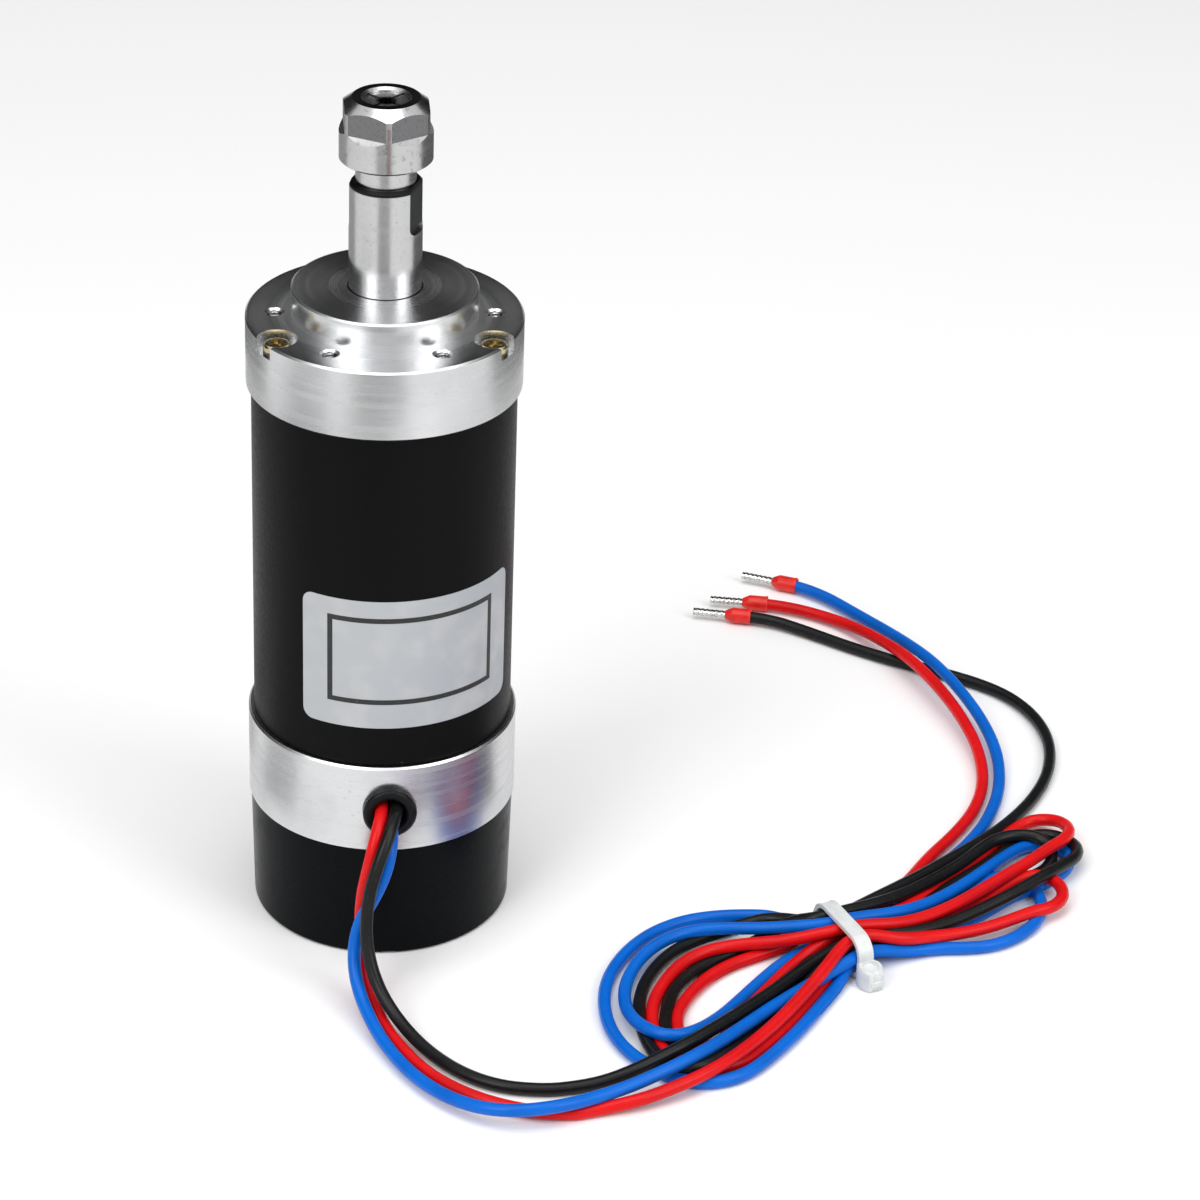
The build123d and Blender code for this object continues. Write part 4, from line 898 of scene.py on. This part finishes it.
# which material each piece and each CAD node wears
FINISHES = [
    (aluminium(), ["front_flange", "rear_ring"]),
    (tube_coating(), ["motor_tube"]),
    (cover_plastic(), ["rear_cover"]),
    (grommet_rubber(), ["lead_grommet"]),
    (shaft_steel(), ["spindle_shaft"]),
    (nut_steel(), ["collet_nut"]),
    (collet_steel(), ["collet"]),
    (zinc_screw(), ["flange_screws", "ring_screws"]),
    (mottled("cover_screw_steel", (0.09, 0.09, 0.092), 0.34, (0.9, 4, 0.5, 0.7, (0.16, 0.155, 0.15)),
             (0.2, 3, 0.01), Metallic=0.85), ["cover_screws"]),
    (insulation("black_insulation", (0.0065, 0.007, 0.0075), (0.009, 0.0095, 0.010), (0.03, 0.03, 0.03),
                (0.45, 0.45, 0.44)), ["black_lead", "lead_black", "lead_black_tail", "lead_hank"]),
    (insulation("blue_insulation", (0.0, 0.135, 0.62), (0.0, 0.115, 0.54), (0.0, 0.16, 0.66),
                (0.35, 0.55, 0.85)), ["blue_lead", "lead_blue", "lead_blue_tail"]),
    (insulation("red_insulation", (0.72, 0.006, 0.008), (0.62, 0.004, 0.006), (0.50, 0.003, 0.004),
                (0.85, 0.35, 0.33)), ["red_lead", "lead_red", "lead_red_tail"]),
    (mottled("tie_nylon", (0.74, 0.76, 0.755), 0.34, (2.5, 3, 0.4, 0.7, (0.66, 0.685, 0.685)),
             (0.45, 4, 0.012), Specular_IOR_Level=0.5), ["tie", "cable_tie"]),
    (mottled("ferrule_collar", (0.80, 0.020, 0.012), 0.30, (2.2, 3, 0.45, 0.7, (0.66, 0.012, 0.010)),
             (0.6, 4, 0.012), Specular_IOR_Level=0.45, Subsurface_Weight=0.08, Subsurface_Scale=0.0008),
     [name for color in leads for name in (f"{color}_collar", f"ferrule_collar_{color}")]),
    (mottled("ferrule_pin", (0.66, 0.655, 0.63), 0.27, (0.5, 4, 0.5, 0.62, (0.34, 0.335, 0.32)),
             (0.22, 4, 0.05), Metallic=1.0),
     [name for color in leads for name in (f"{color}_pin", f"ferrule_pin_{color}")]),
    (label_foil(), ["label"]),
    (mottled("label_ink", (0.016, 0.016, 0.017), 0.38, (0.35, 5, 0.60, 0.72, (0.10, 0.10, 0.10)),
             (0.3, 4, 0.002), Specular_IOR_Level=0.4), ["label_frame"]),
    # the threads are cut in the aluminium flange; their dark colour is painted shade, as deep inside the
    # holes
    (mottled("thread_painted_shade", (0.16, 0.16, 0.165), 0.22, (0.6, 3, 0.5, 0.65, (0.38, 0.38, 0.385)),
             (0.15, 3, 0.01), Metallic=1.0), ["mount_threads"]),
    (inner_metal("bearing_steel", (0.60, 0.60, 0.61), (0.45, 0.44, 0.43), 0.18), [
        name for name in nodes if name.endswith("_ring") and "bearing" in name]),
    (inner_metal("spring_steel", (0.34, 0.34, 0.35), (0.20, 0.20, 0.21), 0.3), [
        "retaining_ring", "preload_washer", "bearing_spacer"]),
    (mottled("seal_rubber", (0.014, 0.014, 0.015), 0.5, (1.2, 4, 0.5, 0.7, (0.03, 0.028, 0.026)),
             (0.2, 3, 0.01)), [name for name in nodes if name.endswith("_seals")]),
    (core_steel(), ["stator_core", "rotor_core"]),
    (winding(), ["stator_coils"]),
    (mottled("liner_paper", (0.78, 0.74, 0.60), 0.75, (0.6, 6, 0.45, 0.65, (0.68, 0.63, 0.48)),
             (0.12, 4, 0.03)), ["tooth_liners"]),
    (inner_metal("magnet", (0.50, 0.50, 0.51), (0.40, 0.40, 0.40), 0.26), ["rotor_magnets"]),
]
for material, names in FINISHES:
    for name in names:
        data = bpy.data.objects[name].data
        data.materials.clear()
        data.materials.append(material)

SLOTS = {
    "tie": "tie_nylon", "label": "turned_aluminium", "label_frame": "cover_plastic",
    "mount_threads": "turned_aluminium",
}
for color in leads:
    SLOTS |= {f"{color}_lead": f"lead_{color}", f"{color}_collar": "ferrule_collar",
              f"{color}_pin": "ferrule_pin"}

# -------------------- floor, world and lamps
FLOOR_SIZE = 6.0
FLOOR_LEVEL = -0.0001     # just under the object


def stage_plane(name, corners, material):
    """A flat piece of the studio, its corners in metres."""
    mesh = bpy.data.meshes.new(name)
    mesh.from_pydata(corners, [], [tuple(range(len(corners)))])
    mesh.materials.append(material)
    plane = bpy.data.objects.new(name, mesh)
    bpy.context.scene.collection.objects.link(plane)
    return plane


def card(name, corners, material):
    """A card that shows only in reflections on metal."""
    plane = stage_plane(name, corners, material)
    plane.visible_camera = plane.visible_diffuse = plane.visible_shadow = False
    plane.visible_transmission = plane.visible_volume_scatter = False


def lamp(name, place, target, size, power):
    """A soft rectangular lamp that points at its target."""
    data = bpy.data.lights.new(name, "AREA")
    data.shape = "RECTANGLE"
    data.size, data.size_y = size
    data.energy = power
    light = bpy.data.objects.new(name, data)
    light.location = place
    light.rotation_euler = (Vector(target) - Vector(place)).to_track_quat("-Z", "Y").to_euler()
    bpy.context.scene.collection.objects.link(light)


floor_paint = Paint("floor_paper", (0.98, 0.98, 0.98), 0.9, Specular_IOR_Level=0.0)
floor_paint.mottle(400, 3, 0.3, 0.7, (0.985, 0.985, 0.985))
half = FLOOR_SIZE / 2
stage_plane("floor", [(half * x, half * y, FLOOR_LEVEL) for x, y in ((-1, -1), (1, -1), (1, 1), (-1, 1))],
            floor_paint.done())


def card_paint(grey):
    """Matt grey."""
    return Paint(f"card_{round(100 * grey)}", (grey, grey, grey), 0.9, Specular_IOR_Level=0.0).done()


CARD_HEIGHT = 0.0002
CARD_STEP = 8             # degrees of one facet


def floor_card(name, azimuths, reach, grey):
    """A grey wedge on the floor round the spindle, seen only in its upright walls."""
    first, last = azimuths
    steps = max(2, round((last - first) / CARD_STEP))
    turns = [math.radians(first + (last - first) * step / steps) for step in range(steps + 1)]
    arcs = [[(distance * math.sin(turn), -distance * math.cos(turn), CARD_HEIGHT) for turn in turns]
            for distance in reach]
    card(name, arcs[0] + arcs[1][::-1], card_paint(grey))


# what each level of the spindle mirrors, from the ring up: (distances from the axis, [(azimuths, grey)])
FLOOR_CARDS = [
    ((0.072, 0.122), [((-165, -128), 0.60), ((-106, -70), 0.50), ((58, 92), 0.15)]),
    ((0.225, 0.275), [((-160, -100), 0.66), ((-96, -50), 0.34), ((-46, 0), 0.62), ((42, 88), 0.60),
                      ((92, 150), 0.75)]),
    ((0.280, 0.315), [((-178, -112), 0.08), ((-84, -48), 0.30), ((-30, 14), 0.04), ((90, 178), 0.12)]),
    ((0.315, 0.600), [((-170, -112), 0.45), ((-26, 10), 0.45), ((90, 178), 0.15)]),
]
for level, (reach, wedges) in enumerate(FLOOR_CARDS):
    for number, (azimuths, grey) in enumerate(wedges):
        floor_card(f"floor_card_{level}_{number}", azimuths, reach, grey)

# a dark wall behind the spindle and at each side, seen only in its tops
WALL_GREY = 0.02
WALL_LOW, WALL_HIGH = 0.12, 1.5
WALLS = {  # the two ends of each, seen from above
    "back_card": ((-1.3, 1.0), (1.5, 1.1)),
    "left_card": ((-1.3, -0.2), (-1.2, 1.0)),
    "right_card": ((1.4, -0.2), (1.5, 1.1)),
}
for name, ((x0, y0), (x1, y1)) in WALLS.items():
    card(name, [(x0, y0, WALL_LOW), (x1, y1, WALL_LOW), (x1, y1, WALL_HIGH), (x0, y0, WALL_HIGH)],
         card_paint(WALL_GREY))

lamp("key", (-0.75, -0.75, 1.05), (0.02, 0.0, 0.08), (0.7, 0.9), 9.0)
lamp("fill", (0.85, -0.7, 0.9), (0.05, 0.0, 0.08), (0.6, 0.9), 6.0)
lamp("top", (0.05, -0.15, 1.5), (0.05, 0.0, 0.0), (1.0, 1.0), 8.0)

AMBIENT = 0.42            # strength of the world's light; it is plain white where it is seen
world = bpy.data.worlds.new("studio")
bpy.context.scene.world = world
world.use_nodes = True
tree = world.node_tree
background = tree.nodes["Background"]
background.inputs["Color"].default_value = (1, 1, 1, 1)
rays = tree.nodes.new("ShaderNodeLightPath")
seen = rays.outputs["Is Camera Ray"]
for other in ("Is Glossy Ray", "Is Transmission Ray"):
    either = tree.nodes.new("ShaderNodeMath")
    either.operation = "MAXIMUM"
    tree.links.new(seen, either.inputs[0])
    tree.links.new(rays.outputs[other], either.inputs[1])
    seen = either.outputs[0]
strength = tree.nodes.new("ShaderNodeMapRange")
strength.inputs["To Min"].default_value = AMBIENT
strength.inputs["To Max"].default_value = 1.0
tree.links.new(seen, strength.inputs["Value"])
tree.links.new(strength.outputs[0], background.inputs["Strength"])
bpy.context.scene.view_settings.view_transform = "Standard"

# -------------------- the leads' lengths, worked out and not kept, and the CAD leads hidden
for color, points in LEAD_POINTS.items():
    line_length(points) * MM
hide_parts("lead_black", "lead_black_tail", "lead_hank")
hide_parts("lead_blue", "lead_blue_tail")
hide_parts("lead_red", "lead_red_tail")

bpy.context.view_layer.update()
